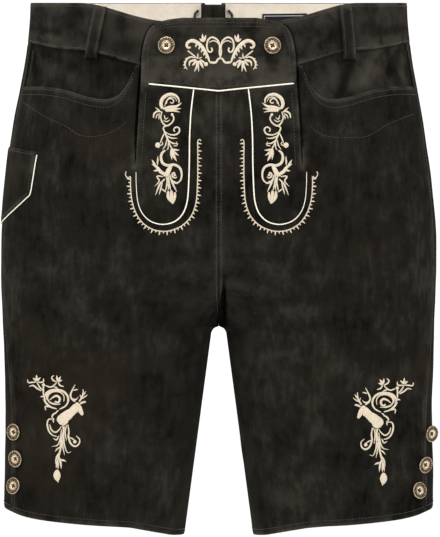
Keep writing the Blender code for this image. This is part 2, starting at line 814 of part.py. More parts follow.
def lace_knot(collection):
    mesh = bmesh.new()
    bmesh.ops.create_uvsphere(mesh, u_segments=14, v_segments=8, radius=1.0)
    bmesh.ops.scale(mesh, vec=[size * MM for size in KNOT_SIZE], verts=mesh.verts)
    knot = mesh_object("lace_knot", mesh, "lace", collection, smooth_angle=80)
    knot.location = back_spot(0.0, KNOT_HEIGHT, KNOT_LIFT)
    for side in (1, -1):
        top = back_spot(side * 1.4, KNOT_HEIGHT - 1.4, KNOT_LIFT)
        foot = back_spot(side * LACE_END_SPREAD, KNOT_HEIGHT - LACE_END_LENGTHS[side], LACE_END_LIFT)
        end = cylinder(
            f"lace_end_{piece_half(side)}", (top + foot) / 2, foot - top, LACE_RADIUS,
            (foot - top).length / MM, collection.children[0], sides=8,
        )
        end.hide_render = True
        end.display_type = "WIRE"
        joined = knot.modifiers.new(end.name, "BOOLEAN")
        joined.operation = "UNION"
        joined.solver = "EXACT"
        joined.object = end


def button_profile():
    """Half outline of a turned button and the wound thread that it stands on."""
    mesh = bmesh.new()
    outline = [
        mesh.verts.new((row["radius"] * MM, 0.0, row["height"] * MM))
        for row in named_rows(PROFILE_COLUMNS, BUTTON_PROFILE)
    ]
    for pair in zip(outline, outline[1:]):
        mesh.edges.new(pair)
    data = bpy.data.meshes.new("button")
    mesh.to_mesh(data)
    mesh.free()
    data.materials.append(material("metal"))
    return data


def buttons(collection):
    profile = button_profile()
    for row in named_rows(BUTTON_COLUMNS, BUTTONS):
        side, angle, height, lean = (row[column] for column in ("side", "angle", "height", "lean"))
        outward = direction(side, angle, height)
        forward = outward.rotation_difference(Vector((0, -1, 0)))
        outward.rotate(Quaternion(forward.axis, min(forward.angle, math.radians(lean))))
        made = bpy.data.objects.new(row["name"], profile)
        made.location = place(side, angle, height, row["lift"] + STEM_RADIUS * math.sin(math.radians(lean)))
        made.rotation_mode = "QUATERNION"
        made.rotation_quaternion = outward.to_track_quat("Z", "Y")
        turned_round = made.modifiers.new("turned", "SCREW")
        turned_round.axis = "Z"
        turned_round.angle = math.tau
        turned_round.steps = turned_round.render_steps = BUTTON_SIDES
        turned_round.use_merge_vertices = True
        turned_round.merge_threshold = WELD
        collection.objects.link(made)


def main():
    for old in list(bpy.data.objects):
        bpy.data.objects.remove(old)
    scene = bpy.context.scene
    garment = bpy.data.collections.new("lederhosen")
    scene.collection.children.link(garment)
    cutters = bpy.data.collections.new("cutters")
    garment.children.link(cutters)
    bands, linings = [], []
    for side in (1, -1):
        front_leg(side, garment)
        back_leg(side, garment)
        pocket_facing(side, garment)
        bands.append(waistband(side, garment))
        linings.append(waist_lining(side, garment))
    flap_band(garment)
    knife_pocket(garment)
    label(garment)
    piping(garment)
    for row in named_rows(LOOP_COLUMNS, BELT_LOOPS):
        belt_loop(collection=garment, **row)
    gusset(garment)
    lace(garment, cutters, bands, linings)
    lace_knot(garment)
    buttons(garment)


main()
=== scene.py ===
import math

import bmesh
import bpy
from mathutils import Matrix, Quaternion, Vector, kdtree, noise


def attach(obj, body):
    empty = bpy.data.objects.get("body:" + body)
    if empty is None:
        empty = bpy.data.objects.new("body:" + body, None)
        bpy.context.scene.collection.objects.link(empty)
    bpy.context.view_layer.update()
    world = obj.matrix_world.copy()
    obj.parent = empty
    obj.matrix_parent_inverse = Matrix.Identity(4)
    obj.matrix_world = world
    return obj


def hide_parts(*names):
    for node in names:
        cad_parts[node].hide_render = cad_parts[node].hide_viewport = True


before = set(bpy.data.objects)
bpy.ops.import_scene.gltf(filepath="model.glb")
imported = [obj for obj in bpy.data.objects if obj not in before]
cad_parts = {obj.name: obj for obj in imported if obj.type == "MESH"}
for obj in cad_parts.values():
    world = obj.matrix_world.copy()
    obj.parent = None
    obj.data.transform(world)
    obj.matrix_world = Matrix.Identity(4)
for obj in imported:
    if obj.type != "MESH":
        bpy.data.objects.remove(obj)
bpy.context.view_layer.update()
mm = 0.001  # the tables below are in millimetres
degree = 0.36  # of angle: about a millimetre of leather round the form


view = {
    "place": (0.00119, -4.0, -0.2522),
    "lens": 282.3,
    "sensor": 36.0,
}


def makeCamera():
    data = bpy.data.cameras.new("camera")
    data.lens = view["lens"]
    data.sensor_width = view["sensor"]
    data.clip_end = 100.0
    camera = bpy.data.objects.new("camera", data)
    camera.location = view["place"]
    camera.rotation_euler = (math.pi / 2, 0.0, 0.0)
    bpy.context.collection.objects.link(camera)
    bpy.context.scene.camera = camera


makeCamera()
print("camera placed")


def mix(low, high, share):
    return low + (high - low) * share


def clamp(share):
    return min(1.0, max(0.0, share))


def smoothStep(share):
    share = clamp(share)
    return share * share * (3.0 - 2.0 * share)


def curveValue(rows, at, column=1):
    # A smooth curve through a table's rows, which stand in order of their first column
    if at <= rows[0][0]:
        return rows[0][column]
    if at >= rows[-1][0]:
        return rows[-1][column]
    k = next(n for n in range(1, len(rows)) if rows[n][0] >= at)
    low, high = rows[k - 1], rows[k]
    before, after = rows[max(k - 2, 0)], rows[min(k + 1, len(rows) - 1)]
    span = high[0] - low[0]
    riseLow = (high[column] - before[column]) / (high[0] - before[0]) * span
    riseHigh = (after[column] - low[column]) / (after[0] - low[0]) * span
    t = (at - low[0]) / span
    return (
        (2 * t**3 - 3 * t**2 + 1) * low[column]
        + (t**3 - 2 * t**2 + t) * riseLow
        + (3 * t**2 - 2 * t**3) * high[column]
        + (t**3 - t**2) * riseHigh
    )


def straightValue(rows, at, column):
    k = next((n for n in range(1, len(rows)) if rows[n][0] >= at), len(rows) - 1)
    low, high = rows[k - 1], rows[k]
    share = clamp((at - low[0]) / (high[0] - low[0]))
    return mix(low[column], high[column], share)


besideEdge = (0.45, 1.0, 1.8)  # distances from a seam or a raw edge at which the mesh stands close


def ticks(low, high, step, unit=1.0, fineLow=True, fineHigh=True):
    # Places from low to high: close ones beside a seam, then even ones about a step apart
    near = [unit * away for away in besideEdge]
    start = [low + away for away in near] if fineLow else []
    finish = [high - away for away in reversed(near)] if fineHigh else []
    first = start[-1] if start else low
    last = finish[0] if finish else high
    count = max(1, round((last - first) / (step * unit)))
    between = [mix(first, last, k / count) for k in range(1, count)]
    return [low] + start + between + finish + [high]


def evenTicks(low, high, step, unit=1.0):
    return ticks(low, high, step, unit, False, False)


# The filled-out form that every piece lies on
form = {
    # height, side, middle, front, back
    "sections": (
        (-506, 203.6, 8, 73.0, 78.0),
        (-422, 203.1, 8, 79.0, 87.0),
        (-359, 203.3, 8, 86.0, 99.0),
        (-307, 204.6, 7, 93.0, 111.0),
        (-254, 206.3, 4, 107.0, 121.5),
        (-211, 205.8, 1, 113.0, 126.0),
        (-174, 202.5, 0, 114.5, 125.0),
        (-137, 197.8, 0, 114.5, 121.5),
        (-105, 193.0, 0, 113.0, 117.0),
        (-79, 188.0, 0, 111.0, 112.0),
        (-47, 182.4, 0, 108.5, 108.0),
        (-16, 179.2, 0, 106.0, 106.0),
        (12, 178.4, 0, 104.0, 104.0),
    ),
    "fullness": 2.2,
    "crotch": -307.0,
    "backTop": -46.0,
    "riseStart": -205.0,
    "risePower": 2.3,
    "legSpread": 0.1335,
    "arch": (-320.0, -296.0),
    "archRadius": 6.6,
    "archNarrow": 6,
    "waistTilt": 6.7,
    "waistDip": 17.0,
    "dipFrom": 46.0,
    "dipTo": 14.0,
    "bandDepth": 38.0,
    "bandExtra": 6.0,
    "extraFrom": 80,
    "extraOver": 35,
    "seamTop": 78.0,
    "seamHem": 63.0,
    "seamTurnFrom": -240.0,
    "seamTurnTo": -430.0,
    "hemSample": -495.0,
    # angle, height
    "hem": (
        (-90.0, -505.0), (-60.0, -503.4), (-44.0, -500.5), (-29.0, -497.0), (-20.0, -494.9),
        (8.0, -491.9), (37.0, -487.9), (52.0, -484.9), (66.0, -481.4), (90.0, -478.0),
    ),
    "legTop": -159.0,
    "legTurn": -336.0,
    "legFoot": -492.0,
    "hide": 1.8,
    "seam": 0.3,
    "grid": 2.6,
}
rowCache = {}


def wholeRow(height):
    if height not in rowCache:
        rowCache[height] = [curveValue(form["sections"], height, k) for k in (1, 2, 3, 4)]
    return rowCache[height]


def sectionRow(height):
    low = math.floor(height)
    share = height - low
    return [mix(a, b, share) for a, b in zip(wholeRow(low), wholeRow(low + 1))]


def riseShare(height):
    down = clamp((form["riseStart"] - height) / (form["riseStart"] - form["crotch"]))
    return 1 - (1 - down ** form["risePower"]) ** 2


def halfWidth(side, height):
    if height < form["crotch"]:
        centre = (side + form["legSpread"] * (form["crotch"] - height)) / 2
    else:
        share = riseShare(height)
        centre = side * share / (1 + share)
    return centre, side - centre


def formPoint(angle, height):
    side, middle, front, back = sectionRow(height)
    centre, reach = halfWidth(side, height)
    across = math.sin(math.radians(angle))
    depth = (1 - min(1.0, abs(across)) ** form["fullness"]) ** (1 / form["fullness"])
    y = middle - front * depth if angle <= 90 else middle + back * depth
    share = clamp((form["crotch"] - height) / form["archRadius"])
    arch = form["archRadius"] * math.sqrt(1 - (1 - share) ** 2)
    x = centre + reach * across + arch * ((1 - across) / 2) ** form["archNarrow"]
    return Vector((x, y, height))


def formNormal(angle, height):
    along = formPoint(angle + 0.4, height) - formPoint(angle - 0.4, height)
    upward = formPoint(angle, height + 0.5) - formPoint(angle, height - 0.5)
    return along.cross(upward).normalized()


# Creases: x and height of both ends, how far they stand out, and how wide they are
folds = {
    "front": (
        (-60, -318, -65, -392, -2.6, 9),
        (-65, -392, -70, -442, -2.4, 10),
        (-70, -442, -82, -500, -2.0, 12),
        (-86, -340, -92, -430, 1.3, 13),
        (-38, -360, -46, -480, 1.1, 12),
        (-112, -372, -128, -450, -0.9, 11),
        (92, -352, 95, -420, -0.8, 10),
        (95, -420, 101, -492, -2.0, 9),
        (114, -398, 122, -480, 1.0, 12),
        (64, -366, 70, -470, 0.9, 13),
        (-14, -288, -62, -262, -1.5, 9),
        (14, -290, 58, -258, -1.2, 9),
        (-34, -276, -88, -246, 0.8, 10),
        (34, -274, 92, -242, 0.8, 11),
        (-90, -166, -148, -214, -0.9, 10),
        (92, -168, 150, -226, -0.8, 11),
        (-150, -232, -196, -262, -1.0, 12),
        (152, -240, 198, -276, -0.9, 12),
    ),
    "back": (
        (-22, -316, -70, -306, -2.6, 9),
        (-70, -306, -132, -286, -1.8, 11),
        (24, -314, 82, -302, -2.4, 9),
        (82, -302, 146, -276, -1.5, 12),
        (-34, -332, -96, -330, 1.1, 9),
        (36, -330, 102, -326, 1.0, 10),
        (-86, -352, -94, -440, -1.8, 11),
        (-94, -440, -88, -500, -1.3, 12),
        (96, -348, 92, -428, -1.4, 11),
        (92, -428, 104, -498, -1.9, 11),
        (-124, -366, -132, -470, 1.0, 13),
        (130, -372, 128, -466, 0.9, 13),
        (-8, -236, -52, -206, -0.9, 9),
        (8, -230, 60, -196, -1.0, 10),
        (-120, -196, -176, -226, -0.9, 12),
        (118, -188, 180, -222, -1.0, 12),
    ),
    # scale and height of the soft and of the small unevenness
    "uneven": ((58.0, 1.1), (23.0, 0.32)),
    # the height they begin below, the depth where front and back part, and how far they fade at both
    "top": -16.0,
    "fadeDown": 110.0,
    "parting": 8.0,
    "fadeAcross": (12.0, 40.0),
    "clearAcross": 20.0,
    "clearUp": 50.0,
}


def creases(rows, x, height):
    # Each row: x and height of both ends of a crease, its depth and its width
    total = 0.0
    for x0, h0, x1, h1, depth, width in rows:
        alongX, alongH = x1 - x0, h1 - h0
        share = ((x - x0) * alongX + (height - h0) * alongH) / (alongX**2 + alongH**2)
        share = clamp(share)
        away = math.hypot(x - x0 - share * alongX, height - h0 - share * alongH)
        if away < 3 * width:
            total += depth * math.exp(-((away / width) ** 2))
    return total


pinch = {
    # a wedge-shaped tuck beside the front seam, from its point down to the crotch
    "tip": (5.8, -256.0),
    "foot": -308.0,
    "left": -2.2,
    "right": 6.3,
    "depth": -7.0,
    # how dark the tuck is painted: painted shade, near black in its middle
    "dark": -2.4,
    # width of its sides, and distances over which it fades above and reaches across, back and down
    "soft": 1.6,
    "fadeUp": 14.0,
    "within": 12.0,
    "behind": 6.0,
    "fadeFoot": 5.0,
}


def pinchShare(x, height):
    tipX, tip = pinch["tip"]
    down = clamp((tip - height) / (tip - pinch["foot"]))
    left, right = mix(tipX, pinch["left"], down), mix(tipX, pinch["right"], down)
    away = abs(x - (left + right) / 2) - (right - left) / 2
    foot = smoothStep((height - form["crotch"] + pinch["fadeFoot"]) / pinch["fadeFoot"])
    return smoothStep(0.5 - away / pinch["soft"]) * smoothStep(6 * down) * foot


def foldLift(x, y, height):
    # How far the leather stands off the plain form: long creases and a slight unevenness
    if height > folds["top"]:
        return 0.0
    away, over = folds["fadeAcross"]
    total = creases(folds["front" if y < folds["parting"] else "back"], x, height)
    total *= smoothStep((abs(y - folds["parting"]) - away) / over)
    for scale, rise in folds["uneven"]:
        total += rise * noise.noise(Vector((x, y, height)) / scale)
    aboveCrotch = height - form["crotch"]
    calm = smoothStep((folds["top"] - height) / folds["fadeDown"])
    clearOfInseam = smoothStep(max(abs(x) / folds["clearAcross"], aboveCrotch / folds["clearUp"]))
    pinched = 0.0
    if y < pinch["behind"] and abs(x) < pinch["within"]:
        pinched = pinch["depth"] * pinchShare(x, height) * smoothStep(aboveCrotch / pinch["fadeUp"])
    return total * calm * clearOfInseam + pinched


def surfaceAt(side, angle, height, lift, gap=0.0):
    # World point and outward direction; side 1 is the wearer's left
    point = formPoint(angle, height)
    normal = formNormal(angle, height)
    point += (lift + foldLift(side * point.x, point.y, height)) * normal
    return (
        Vector((side * (point.x + gap), point.y, point.z)) * mm,
        Vector((side * normal.x, normal.y, normal.z)),
    )


def besideSeam(side, angle, height, lift=0.0):
    # The same for a piece that ends at the middle, half a seam's gap short of it
    return surfaceAt(side, angle, height, lift, form["seam"] / 2)


def angleAt(x, height, atFront=True):
    centre, reach = halfWidth(sectionRow(height)[0], height)
    angle = math.degrees(math.asin(max(-1.0, min(1.0, (x - centre) / reach))))
    return angle if atFront else 180 - angle


def frontAt(x, height, lift):
    return surfaceAt(1 if x >= 0 else -1, angleAt(abs(x), height), height, lift)


def innerAngle(height, atFront):
    turn = math.degrees(math.asin(riseShare(height)))
    return -turn if atFront else 180 + turn


def turned(angle, height, distance):
    return angle + distance / (formPoint(angle + 0.5, height) - formPoint(angle - 0.5, height)).length


def seamAngle(height):
    turn = smoothStep((form["seamTurnFrom"] - height) / (form["seamTurnFrom"] - form["seamTurnTo"]))
    return mix(form["seamTop"], form["seamHem"], turn)


edgeCache = {}


def seamEdge(height, step):
    key = (round(height, 2), step)
    if key not in edgeCache:
        edgeCache[key] = turned(seamAngle(height), height, step)
    return edgeCache[key]


def frontAngle(column, height):
    return mix(innerAngle(height, True), seamEdge(height, -form["seam"] / 2), column / form["seamTop"])


def backAngle(column, height):
    share = (column - form["seamTop"]) / (180 - form["seamTop"])
    return mix(seamEdge(height, form["seam"] / 2), innerAngle(height, False), share)


def thighAngle(column, height):
    return frontAngle(column, height) if column <= form["seamTop"] else backAngle(column, height)


def waistTop(angle):
    dip = smoothStep((form["dipFrom"] - angle) / (form["dipFrom"] - form["dipTo"]))
    return -form["waistTilt"] * math.cos(math.radians(angle)) - form["waistDip"] * dip


def bandFoot(angle):
    extra = form["bandExtra"] * smoothStep((form["extraFrom"] - angle) / form["extraOver"])
    return waistTop(angle) - form["bandDepth"] - extra


def hemHeight(angle):
    return curveValue(form["hem"], min(angle, 180 - angle))


def legHeight(hemAngle, row):
    # Rows are level down to the thigh, and turn into the slant of the hem below it
    if row >= form["legTurn"]:
        return row
    share = (form["legTurn"] - row) / (form["legTurn"] - form["legFoot"])
    return mix(form["legTurn"], hemHeight(hemAngle), share)


def legRows():
    step = form["grid"]
    archFoot, archTop = form["arch"]
    upper = evenTicks(archTop, form["legTop"], step)
    arch = evenTicks(archFoot, archTop, 1.0)
    middle = evenTicks(form["legTurn"], archFoot, step)
    lower = ticks(form["legFoot"], form["legTurn"], step, fineHigh=False)
    return lower[:-1] + middle[:-1] + arch[:-1] + upper


def addNode(tree, kind, inputs=None, **settings):
    made = tree.nodes.new(kind)
    for key, value in settings.items():
        setattr(made, key, value)
    for key, value in (inputs or {}).items():
        if isinstance(value, bpy.types.NodeSocket):
            tree.links.new(value, made.inputs[key])
        else:
            made.inputs[key].default_value = value
    return made


def addNoise(tree, place, scale, detail=3.0, roughness=0.5, distortion=0.0):
    inputs = {"Vector": place, "Scale": scale, "Detail": detail, "Roughness": roughness}
    return addNode(tree, "ShaderNodeTexNoise", {**inputs, "Distortion": distortion}).outputs["Fac"]


def addMath(tree, operation, *values):
    return addNode(tree, "ShaderNodeMath", dict(enumerate(values)), operation=operation).outputs[0]


def addRange(tree, value, low, high, toLow=0.0, toHigh=1.0):
    inputs = {"Value": value, "From Min": low, "From Max": high, "To Min": toLow, "To Max": toHigh}
    return addNode(tree, "ShaderNodeMapRange", inputs, interpolation_type="SMOOTHSTEP").outputs[0]


def addMix(tree, share, first, second):
    return addNode(tree, "ShaderNodeMix", {0: share, 6: first, 7: second}, data_type="RGBA").outputs[2]


def addBump(tree, height, distance, strength, normal=None):
    inputs = {"Height": height, "Distance": distance, "Strength": strength}
    if normal is not None:
        inputs["Normal"] = normal
    return addNode(tree, "ShaderNodeBump", inputs).outputs["Normal"]


def objectPlace(tree):
    return addNode(tree, "ShaderNodeTexCoord").outputs["Object"]


def attributeValue(tree, name):
    return addNode(tree, "ShaderNodeAttribute", attribute_name=name).outputs["Fac"]


def connect(tree, shader, **values):
    for key, value in values.items():
        tree.links.new(value, shader.inputs[key.replace("_", " ")])


def newMaterial(name, **values):
    made = bpy.data.materials.new(name)
    made.use_nodes = True
    shader = made.node_tree.nodes["Principled BSDF"]
    for key, value in values.items():
        shader.inputs[key.replace("_", " ")].default_value = value
    return made, made.node_tree, shader


def weighted(tree, parts, start):
    # The sum of noises, each with its share
    total = start
    for value, share in parts:
        total = addMath(tree, "MULTIPLY_ADD", value, share, total)
    return total


suede = {
    "dark": (0.0034, 0.0031, 0.0024, 1),
    "middle": (0.0090, 0.0082, 0.0064, 1),
    "light": (0.0216, 0.0196, 0.0154, 1),
    "brown": (0.0150, 0.0114, 0.0078, 1),
    # pale colour of worn edges, also used for painted highlights
    "worn": (0.060, 0.054, 0.044, 1),
    # near-black painted shade, used where the edge value is below zero
    "paintedShade": (0.0008, 0.0007, 0.0005, 1),
    # scale, detail, roughness and distortion of each noise
    "noises": {
        "clouds": (13.0, 5.0, 0.56, 0.4),
        "patches": (47.0, 4.0, 0.6, 0.2),
        "streaks": (170.0, 3.0, 0.6),
        "nap": (1150.0, 2.0, 0.6),
        "browned": (9.0, 2.0, 0.5),
        "grain": (320.0, 4.0, 0.6),
    },
    "shares": {"clouds": 0.38, "patches": 0.28, "streaks": 0.22, "nap": 0.12},
    "wornWide": 2.2,
    "brushTurn": (0.0, 0.3, 0.2),
    "brushScale": (1.0, 1.0, 0.3),
    # ranges of the tone that go from dark to middle and from middle to light
    "toMiddle": (0.38, 0.50),
    "toLight": (0.49, 0.62),
    # range of a noise, and the shares it gives
    "browning": (0.52, 0.72, 0.0, 0.55),
    # patches over which the paleness shows unevenly, both wear and painted light
    "wear": (0.34, 0.62, 0.12, 0.68),
    # distance and strength of both bumps
    "grain": (0.0005, 0.5),
    "nap": (0.00016, 0.6),
    "surface": {
        "Roughness": 0.95,
        "Sheen_Weight": 0.025,
        "Sheen_Roughness": 0.5,
        "Sheen_Tint": (0.62, 0.56, 0.48, 1),
        "Specular_IOR_Level": 0.0,
    },
}


def suedeMaterial(name, shift=0.0):
    # Napped leather: cloudy dye, brushed streaks, a fine nap and paler worn edges, plus painted highlights
    # and painted shade carried by the edge value
    made, tree, shader = newMaterial(name, **suede["surface"])
    place = objectPlace(tree)
    lengthwise = {"Vector": place, "Rotation": suede["brushTurn"], "Scale": suede["brushScale"]}
    brushed = addNode(tree, "ShaderNodeMapping", lengthwise).outputs[0]
    noises = {
        key: addNoise(tree, brushed if key == "streaks" else place, *settings)
        for key, settings in suede["noises"].items()
    }
    tone = weighted(tree, [(noises[key], share) for key, share in suede["shares"].items()], shift)
    low = addMix(tree, addRange(tree, tone, *suede["toMiddle"]), suede["dark"], suede["middle"])
    dyed = addMix(tree, addRange(tree, tone, *suede["toLight"]), low, suede["light"])
    browned = addRange(tree, noises["browned"], *suede["browning"])
    dyed = addMix(tree, browned, dyed, suede["brown"])
    edge = attributeValue(tree, "edge")
    uneven = addRange(tree, noises["patches"], *suede["wear"])
    # paler where the edge value is above zero: worn edges, and painted highlight on some pieces
    rubbed = addMix(tree, addMath(tree, "MULTIPLY", edge, uneven), dyed, suede["worn"])
    # near black where the edge value is below zero: painted shade
    colour = addMix(tree, addRange(tree, edge, 0.0, -1.0), rubbed, suede["paintedShade"])
    grain = addBump(tree, noises["grain"], *suede["grain"])
    relief = addBump(tree, noises["nap"], *suede["nap"], grain)
    connect(tree, shader, Base_Color=colour, Normal=relief)
    return made


yarn = {
    # millimetres from ridge to ridge, and scale, detail and amount of the noise that makes them wander
    "ridge": 0.42,
    "wander": (420.0, 2.0),
    "wanderBy": 1.6,
    # scale and detail of the softer noise, its range and the shares it gives
    "soft": (260.0, 3.0),
    "softRange": (0.2, 0.8, 0.55, 1.0),
    "bump": (0.00009, 0.8),
    "surface": {"Roughness": 0.52, "Sheen_Roughness": 0.4, "Specular_IOR_Level": 0.35},
}


def threadMaterial(name, pale, deep, sheen):
    # Floss laid side by side: fine ridges across each stroke, a soft gleam along them
    made, tree, shader = newMaterial(name, Sheen_Weight=sheen, **yarn["surface"])
    along = attributeValue(tree, "along")
    place = objectPlace(tree)
    wander = addMath(tree, "MULTIPLY", addNoise(tree, place, *yarn["wander"]), yarn["wanderBy"])
    ridges = addMath(tree, "SINE", addMath(tree, "MULTIPLY_ADD", along, math.tau / yarn["ridge"], wander))
    share = addRange(tree, ridges, -1.0, 1.0)
    soft = addRange(tree, addNoise(tree, place, *yarn["soft"]), *yarn["softRange"])
    share = addMath(tree, "MULTIPLY", share, soft)
    relief = addBump(tree, ridges, *yarn["bump"])
    connect(tree, shader, Base_Color=addMix(tree, share, deep, pale), Normal=relief)
    return made


twill = {
    # pitch and height of the second set of ridges, as shares of the first
    "counter": (0.45, 0.35),
    "slubs": (90.0, 4.0, 0.6),
    "weaveShare": 0.12,
    "range": (0.25, 0.75),
    "bump": (0.00012, 0.7),
    "surface": {
        "Roughness": 0.88,
        "Sheen_Weight": 0.1,
        "Sheen_Roughness": 0.5,
        "Specular_IOR_Level": 0.2,
    },
}


def twillMaterial(name, pale, deep, pitch):
    # Diagonal twill: two slanting sets of ridges in the cloth
    made, tree, shader = newMaterial(name, **twill["surface"])
    narrower, lower = twill["counter"]
    place = objectPlace(tree)
    split = addNode(tree, "ShaderNodeSeparateXYZ", {0: place})
    diagonal = addMath(tree, "ADD", split.outputs["X"], split.outputs["Z"])
    counter = addMath(tree, "SUBTRACT", split.outputs["X"], split.outputs["Z"])
    ribs = addMath(tree, "SINE", addMath(tree, "MULTIPLY", diagonal, math.tau / pitch))
    cross = addMath(tree, "SINE", addMath(tree, "MULTIPLY", counter, math.tau / (pitch * narrower)))
    weave = addMath(tree, "MULTIPLY_ADD", cross, lower, ribs)
    slubs = addNoise(tree, place, *twill["slubs"])
    share = addMath(tree, "MULTIPLY_ADD", weave, twill["weaveShare"], slubs)
    share = addRange(tree, share, *twill["range"])
    relief = addBump(tree, weave, *twill["bump"])
    connect(tree, shader, Base_Color=addMix(tree, share, deep, pale), Normal=relief)
    return made


brass = {
    "spots": (900.0, 4.0, 0.6),
    "spotShare": 1.1,
    "dulled": (0.43, 1.12),
    "patches": 300.0,
    "bright": ((0.92, 0.79, 0.57, 1), (0.52, 0.36, 0.22, 1)),
    "dull": (0.045, 0.028, 0.018, 1),
    # from bright to dull
    "roughness": (0.24, 0.62),
    "bump": (0.00006, 0.5),
}


def brassMaterial(name):
    # Antiqued brass: bright where it is rubbed, nearly black in the hollows
    made, tree, shader = newMaterial(name, Metallic=1.0)
    place = objectPlace(tree)
    hollow = attributeValue(tree, "hollow")
    spots = addNoise(tree, place, *brass["spots"])
    dulled = addMath(tree, "MULTIPLY_ADD", spots, brass["spotShare"], hollow)
    dulled = addRange(tree, dulled, *brass["dulled"])
    bright = addMix(tree, addNoise(tree, place, brass["patches"]), *brass["bright"])
    connect(
        tree, shader,
        Base_Color=addMix(tree, dulled, bright, brass["dull"]),
        Roughness=addRange(tree, dulled, 0.0, 1.0, *brass["roughness"]),
        Normal=addBump(tree, spots, *brass["bump"]),
    )
    return made


plain = {
    # detail and roughness of the spots, the range of them that shows, distance and strength of the bump
    "spots": (4.0, 0.6),
    "range": (0.3, 0.7),
    "bump": (0.0001, 0.6),
}


def plainMaterial(name, pale, deep, scale, roughness):
    # A smooth leather or cord with a little unevenness
    made, tree, shader = newMaterial(name, Roughness=roughness)
    spots = addNoise(tree, objectPlace(tree), scale, *plain["spots"])
    tone = addMix(tree, addRange(tree, spots, *plain["range"]), deep, pale)
    connect(tree, shader, Base_Color=tone, Normal=addBump(tree, spots, *plain["bump"]))
    return made


finishes = {
    "suede": suedeMaterial("suede"),
    "gusset": suedeMaterial("gusset", 0.085),
    "stitching": threadMaterial("stitching", (0.036, 0.031, 0.025, 1), (0.010, 0.009, 0.008, 1), 0.1),
    "floss": threadMaterial("floss", (0.80, 0.71, 0.56, 1), (0.50, 0.41, 0.29, 1), 0.35),
    "piping": plainMaterial("piping", (0.86, 0.81, 0.70, 1), (0.72, 0.65, 0.53, 1), 420.0, 0.62),
    "lining": twillMaterial("lining", (0.96, 0.87, 0.74, 1), (0.86, 0.74, 0.59, 1), 0.0011),
    "label": twillMaterial("label", (0.016, 0.018, 0.030, 1), (0.006, 0.007, 0.012, 1), 0.0007),
    "labelEdge": twillMaterial("labelEdge", (0.62, 0.60, 0.56, 1), (0.40, 0.38, 0.34, 1), 0.0007),
    "lace": plainMaterial("lace", (0.022, 0.018, 0.015, 1), (0.007, 0.006, 0.005, 1), 700.0, 0.55),
    "brass": brassMaterial("brass"),
}
print("materials ready")


def addPiece(name, data, finish, nodes=()):
    made = bpy.data.objects.new(name, data)
    if not data.materials:
        data.materials.append(finishes[finish])
    bpy.context.collection.objects.link(made)
    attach(made, "root")
    if nodes:
        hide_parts(*nodes)
    return made


def meshOf(name, mesh, smoothAngle=50):
    data = bpy.data.meshes.new(name)
    mesh.to_mesh(data)
    mesh.free()
    data.shade_smooth()
    data.set_sharp_from_angle(angle=math.radians(smoothAngle))
    return data


def gridPatch(mesh, columns, rows, spot, normals):
    # One patch of a wall; spot gives the world point and the outward direction
    grid = bmesh.ops.create_grid(mesh, x_segments=len(columns) - 1, y_segments=len(rows) - 1, size=0.5)
    for vert in grid["verts"]:
        column = columns[round((vert.co.x + 0.5) * (len(columns) - 1))]
        row = rows[round((vert.co.y + 0.5) * (len(rows) - 1))]
        vert.co, normals[vert] = spot(column, row)


def leatherWall(
    name, patches, finish, slot, nodes, thickness=form["hide"], roll=0.55, rollWidth=2.4, worn=1.0, fade=0.0,
    rub=None
):
    # A wall of one hide: patches weld where they meet, and raw edges roll a little inwards
    mesh = bmesh.new()
    edge = mesh.verts.layers.float.new("edge")
    normals = {}
    for columns, rows, spot in patches:
        gridPatch(mesh, columns, rows, spot, normals)
    bmesh.ops.remove_doubles(mesh, verts=mesh.verts, dist=0.02 * mm)
    bmesh.ops.recalc_face_normals(mesh, faces=mesh.faces)
    facing = sum(face.normal.dot(normals[face.verts[0]]) for face in mesh.faces)
    if facing < 0:
        bmesh.ops.reverse_faces(mesh, faces=mesh.faces)
    rim = [vert for vert in mesh.verts if vert.is_boundary]
    tree = kdtree.KDTree(len(rim))
    for k, vert in enumerate(rim):
        tree.insert(vert.co, k)
    tree.balance()
    moves = []
    for vert in mesh.verts:
        away = tree.find(vert.co)[2] / mm
        rubbed = rub(vert.co / mm) if rub else 0.0
        # Edge value: pale wear at the rims, an even paleness over the whole piece, and the piece's own
        # painted light and shade; below zero it paints shade
        vert[edge] = min(1.0, max(-1.0, fade + worn * math.exp(-away / suede["wornWide"]) + rubbed))
        if away < rollWidth:
            moves.append((vert, normals[vert] * (-roll * mm * (1 - away / rollWidth) ** 2)))
    for vert, move in moves:
        vert.co += move
    area = sum(face.calc_area() for face in mesh.faces)
    made = addPiece(name, meshOf(name, mesh), finish, nodes)
    wall = made.modifiers.new("hide", "SOLIDIFY")
    wall.thickness = thickness * mm
    wall.offset = -1.0
    print(f"{name}: {area:.4f} m2 of {finish}")
    return made


def hideWall(node, patches, *sizes, **looks):
    # A wall of the suede that stands in for one node
    return leatherWall(f"suede_{node}", patches, "suede", "suede", [node], *sizes, **looks)


def halfName(side):
    return "left" if side > 0 else "right"


flap = {
    "lift": 2.3,
    "freeTo": -130.0,
    "clear": 1.5,
    "shade": {-1: 1.5, 1: 1.0},
    "shadeFoot": -142.0,
    "shadeTop": -22.5,
    # how fast the shade comes in under the edge, and from where over how much it goes
    "shadeIn": 0.6,
    "shadeOut": (0.3, 2.2),
    "widest": 22.9,
    "underlap": 15.5,
    "barCentre": -88.6,
    "barSlope": 0.105,
    "depth": 30.0,
    "topRows": (-27.6, -25.6, -24.2, -23.0, -22.1, -21.4, -20.9, -20.5),
    # paler and darker shades: how much, from which height or distance across, over how much of it
    "paler": (0.3, -38.0, 26.0),
    "darker": (0.12, 48.0, 22.0),
    # height, angle of the free edge
    "edge": (
        (-56.5, 22.8), (-40.7, 22.1), (-30.5, 20.7), (-24.6, 18.0), (-22.0, 14.8), (-20.5, 11.0),
    ),
}


def flapLift(height):
    return flap["lift"] * smoothStep((height - form["legTop"]) / (flap["freeTo"] - form["legTop"]))


